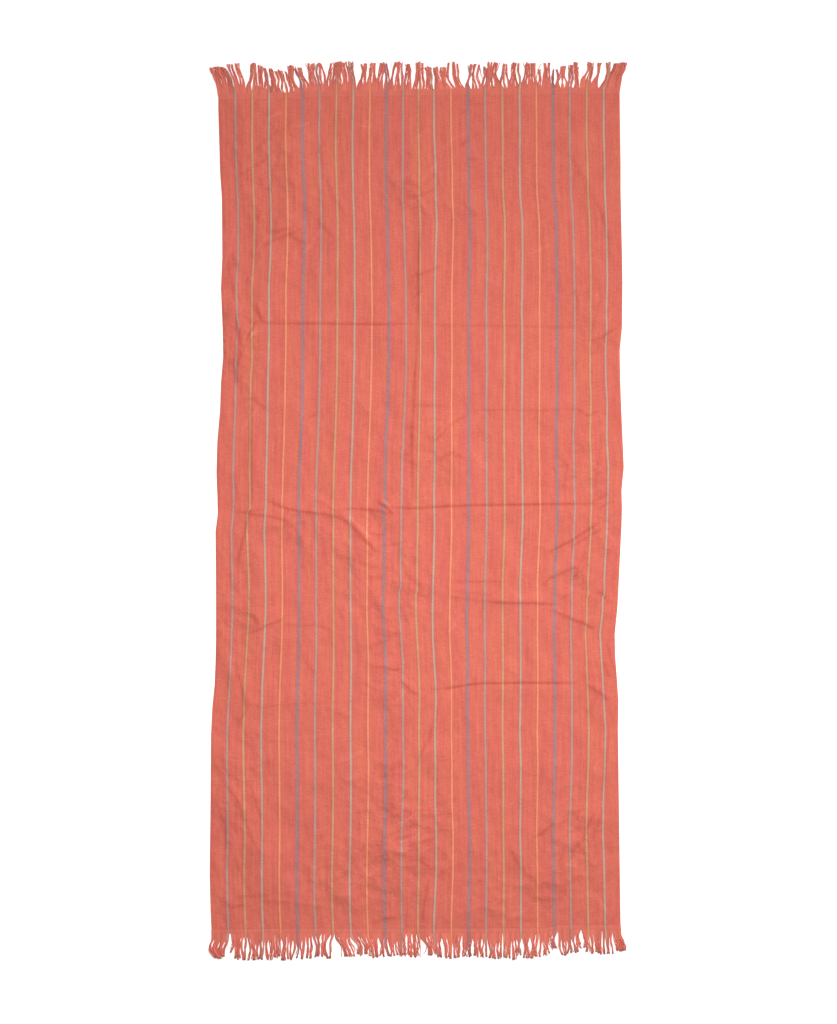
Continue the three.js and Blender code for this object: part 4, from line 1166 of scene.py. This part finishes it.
def cotton_group():
    takes = {"Weave": "Vector", "Nap": "Float", "Crumple": "Float"}
    gives = {"Tone": "Float", "Warmth": "Float", "Height": "Float"}
    tree, given = new_group("cotton", takes, gives)
    place = stretched(tree, given["Weave"], (BAY_WIDTH * MM, 1.0, 1.0))
    grains = {}
    tone = 0.0
    for name, (across, along, scale, detail, roughness, share) in GRAINS.items():
        laid = stretched(tree, place, (across, along, 1.0))
        grains[name] = noise(tree, laid, scale, detail, roughness)
        if share:
            tone = calculate(tree, "MULTIPLY_ADD", grains[name], share, tone)
    height = calculate(tree, "MULTIPLY", grains["crinkles"], CRINKLE_HEIGHT)
    for scale, depth in CRUMPLE_FACETS:
        part = calculate(tree, "MULTIPLY", crumpled(tree, place, scale), given["Crumple"])
        height = calculate(tree, "MULTIPLY_ADD", part, depth, height)
    napped = calculate(tree, "MULTIPLY", grains["fibres"], given["Nap"])
    height = calculate(tree, "MULTIPLY_ADD", napped, NAP_HEIGHT, height)
    add(tree, "NodeGroupOutput", {"Tone": tone, "Warmth": grains["streaks"], "Height": height})
    return tree


cotton = cotton_group()
print("grains in the cotton:", list(GRAINS))

# %% [markdown]
# Brushed cotton scatters light at grazing angles, so it gets sheen and no gloss. The tone
# darkens and lightens the coral by a few hundredths, and the nap is a low bump. The cloth's
# "crease" attribute paints shade along the line of a fold, and a painted highlight where it is
# below zero, and its "crumple" attribute says how much of the facets shows. The headings carry
# neither, so they stay plain.

# %% The cloth's material
CORAL = (0.685, 0.149, 0.107, 1.0)
HEADING_CORAL = (0.710, 0.168, 0.122, 1.0)
TINT = 0.06  # how far the coral strays to orange and to pink
WARMTH_LOW = 0.34
WARMTH_HIGH = 0.66
PAINTED_CREASE_SHADE = 0.17  # painted shade: how much darker the darkest crease line is
STRIPE_WANDER = 0.20  # centimetres by which its edge wanders with the tone
STRIPE_RELIEF = 0.25  # millimetres that a stripe stands above the ground


def tinted(color, share):
    """The same colour, a little more orange or, below zero, more pink."""
    return (color[0], color[1] * (1 + share), color[2] * (1 - share), 1.0)


def weave_stripes(tree, weave, wander=0.0):
    """The pinstripes' colour and mask."""
    split = add(tree, "ShaderNodeSeparateXYZ", {0: weave})
    inputs = {"Bay": split.outputs[0], "Wander": wander}
    return add(tree, "ShaderNodeGroup", inputs, node_tree=pinstripes).outputs


def cotton_material(name, color, nap, contrast):
    """Coral cotton with pinstripes, for a mesh that carries the weave's UV map."""
    material, tree = new_material(name)
    weave = add(tree, "ShaderNodeUVMap", uv_map="weave").outputs[0]
    inputs = {"Weave": weave, "Nap": nap, "Crumple": attribute(tree, "crumple")}
    body = add(tree, "ShaderNodeGroup", inputs, node_tree=cotton).outputs
    wander = calculate(tree, "MULTIPLY_ADD", body["Tone"], STRIPE_WANDER, -STRIPE_WANDER / 2)
    stripes = weave_stripes(tree, weave, wander)
    inputs = {"Value": body["Warmth"], "From Min": WARMTH_LOW, "From Max": WARMTH_HIGH}
    warm = add(tree, "ShaderNodeMapRange", inputs).outputs[0]
    plain = blend_colors(tree, "MIX", warm, tinted(color, -TINT), tinted(color, TINT))
    ground = blend_colors(tree, "MIX", stripes["Mask"], plain, stripes["Color"])
    level = calculate(tree, "MULTIPLY_ADD", body["Tone"], contrast, 1 - contrast / 2)
    # painted shade along the folds from the crease attribute, and a painted highlight below zero
    level = calculate(tree, "MULTIPLY_ADD", attribute(tree, "crease"), -PAINTED_CREASE_SHADE, level)
    toned = blend_colors(tree, "MULTIPLY", 1.0, ground, level)
    redder = add(tree, "ShaderNodeCombineColor", {0: 1.0, 1: level, 2: level}).outputs[0]
    toned = blend_colors(tree, "MULTIPLY", 1.0, toned, redder)
    relief = calculate(tree, "MULTIPLY_ADD", stripes["Mask"], STRIPE_RELIEF, body["Height"])
    bump = add(tree, "ShaderNodeBump", {"Strength": 1.0, "Distance": MM, "Height": relief})
    cover(tree, {
        "Base Color": toned, "Normal": bump.outputs[0], "Roughness": 0.92,
        "Specular IOR Level": 0.18, "Sheen Weight": 0.12, "Sheen Roughness": 0.6,
        "Sheen Tint": (1.0, 0.72, 0.62, 1.0),
    })
    return material


cloth_finish = cotton_material("brushed coral cotton", CORAL, nap=1.0, contrast=0.95)
heading_finish = cotton_material("flat coral cotton", HEADING_CORAL, nap=0.4, contrast=0.5)
print("cloth's finishes:", cloth_finish.name + ",", heading_finish.name)

# %% [markdown]
# A yarn has no nap, and takes a stripe's colour where its root stands in a stripe. Its "tone"
# attribute makes each strand and each yarn a little darker or paler than the next, and darkens
# it towards its tip with painted shade.

# %% The yarns' material
YARN_CORAL = (0.715, 0.178, 0.127, 1.0)
DYED = 0.75  # how much of a stripe's colour its yarns show
YARN_CONTRAST = 0.36
YARN_DARKEST = 0.84  # brightness at a tone of zero


def yarn_material():
    material, tree = new_material("coral yarn")
    stripes = weave_stripes(tree, add(tree, "ShaderNodeUVMap", uv_map="weave").outputs[0])
    dyed = calculate(tree, "MULTIPLY", stripes["Mask"], DYED)
    color = blend_colors(tree, "MIX", dyed, YARN_CORAL, stripes["Color"])
    level = calculate(tree, "MULTIPLY_ADD", attribute(tree, "tone"), YARN_CONTRAST, YARN_DARKEST)
    cover(tree, {
        "Base Color": blend_colors(tree, "MULTIPLY", 1.0, color, level), "Roughness": 0.9,
        "Specular IOR Level": 0.2, "Sheen Weight": 0.1, "Sheen Roughness": 0.6,
    })
    return material


yarn_finish = yarn_material()
finished = {cloth_finish: [cloth], heading_finish: headings.values()}
finished[yarn_finish] = [yarns_far, yarns_near]
for finish, things in finished.items():
    for thing in things:
        thing.data.materials.append(finish)
print("yarns' finish:", yarn_finish.name)

# %% [markdown]
# Each piece rides on the towel's one body, and the solid it stands for is hidden.

# %% Ride and replace
for piece, node, slot in (
    (cloth, "panel", "cloth"),
    (headings["heading_far"], "fringe_far", "fringe"),
    (headings["heading_near"], "fringe_near", "fringe"),
    (yarns_far, "fringe_far", "fringe"),
    (yarns_near, "fringe_near", "fringe"),
):
    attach(piece, "root")
    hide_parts(node)
print("pieces:", cloth.name, list(headings), yarns_far.name, yarns_near.name)

# %% [markdown]
# ## Floor, light and camera
# The towel was photographed from straight above on white. The floor is a plain pale plane that
# glows a little, as a light table does. Soft light falls in from beyond the far right corner and
# shades the folds, and a round lamp overhead is brightest near the middle. The camera looks
# straight down from five metres.


# %% Floor
FLOOR_HALF = 40.0  # metres, so that its edge doesn't show at low angles


def make_floor():
    mesh = bmesh.new()
    bmesh.ops.create_grid(mesh, x_segments=1, y_segments=1, size=FLOOR_HALF)
    floor = to_object(mesh, "floor", smooth=False)
    material, tree = new_material("pale floor")
    cover(tree, {
        "Base Color": (0.97, 0.97, 0.97, 1.0), "Roughness": 0.8, "Specular IOR Level": 0.1,
        "Emission Color": (1.0, 1.0, 1.0, 1.0), "Emission Strength": 0.32,
    })
    floor.data.materials.append(material)
    return floor


floor = make_floor()


# %% Lamps
def make_light(name, kind, place, turn, **settings):
    """A lamp that points straight down before it is turned by these degrees."""
    data = bpy.data.lights.new(name, kind)
    for key, value in settings.items():
        setattr(data, key, value)
    lamp = bpy.data.objects.new(name, data)
    lamp.location = place
    lamp.rotation_euler = [math.radians(angle) for angle in turn]
    lamp.visible_camera = False
    bpy.context.scene.collection.objects.link(lamp)


make_light("overhead", "AREA", (0.22, -0.05, 1.9), (0, 0, 0), shape="DISK", size=1.0, energy=26)
make_light("window", "SUN", (0, 0, 0), (-42, 30, 0), energy=1.65, angle=math.radians(16))

world = bpy.data.worlds.new("soft room")
world.use_nodes = True
world.node_tree.nodes["Background"].inputs["Color"].default_value = (1, 1, 1, 1)
world.node_tree.nodes["Background"].inputs["Strength"].default_value = 0.18
bpy.context.scene.world = world

# %% Camera
CAMERA_HEIGHT = 5.0
PHOTO_ROWS = 1024
MM_PER_PIXEL = 2.215
PHOTO_MIDDLE = (2.3, -2.2)  # millimetres, in the tables' frame
SENSOR = 36.0
camera_data = bpy.data.cameras.new("camera")
camera_data.sensor_width = SENSOR
camera_data.lens = SENSOR * CAMERA_HEIGHT / (PHOTO_ROWS * MM_PER_PIXEL * MM)
camera_data.clip_end = 50
camera = bpy.data.objects.new("camera", camera_data)
camera.location = (
    (PHOTO_MIDDLE[0] + SHIFT_X) * MM, (PHOTO_MIDDLE[1] + SHIFT_Y) * MM, CAMERA_HEIGHT
)
bpy.context.scene.collection.objects.link(camera)
bpy.context.scene.camera = camera
bpy.context.scene.view_settings.view_transform = "Standard"
print("lens:", round(camera_data.lens, 2), "mm")

# %% Update the scene
bpy.context.view_layer.update()
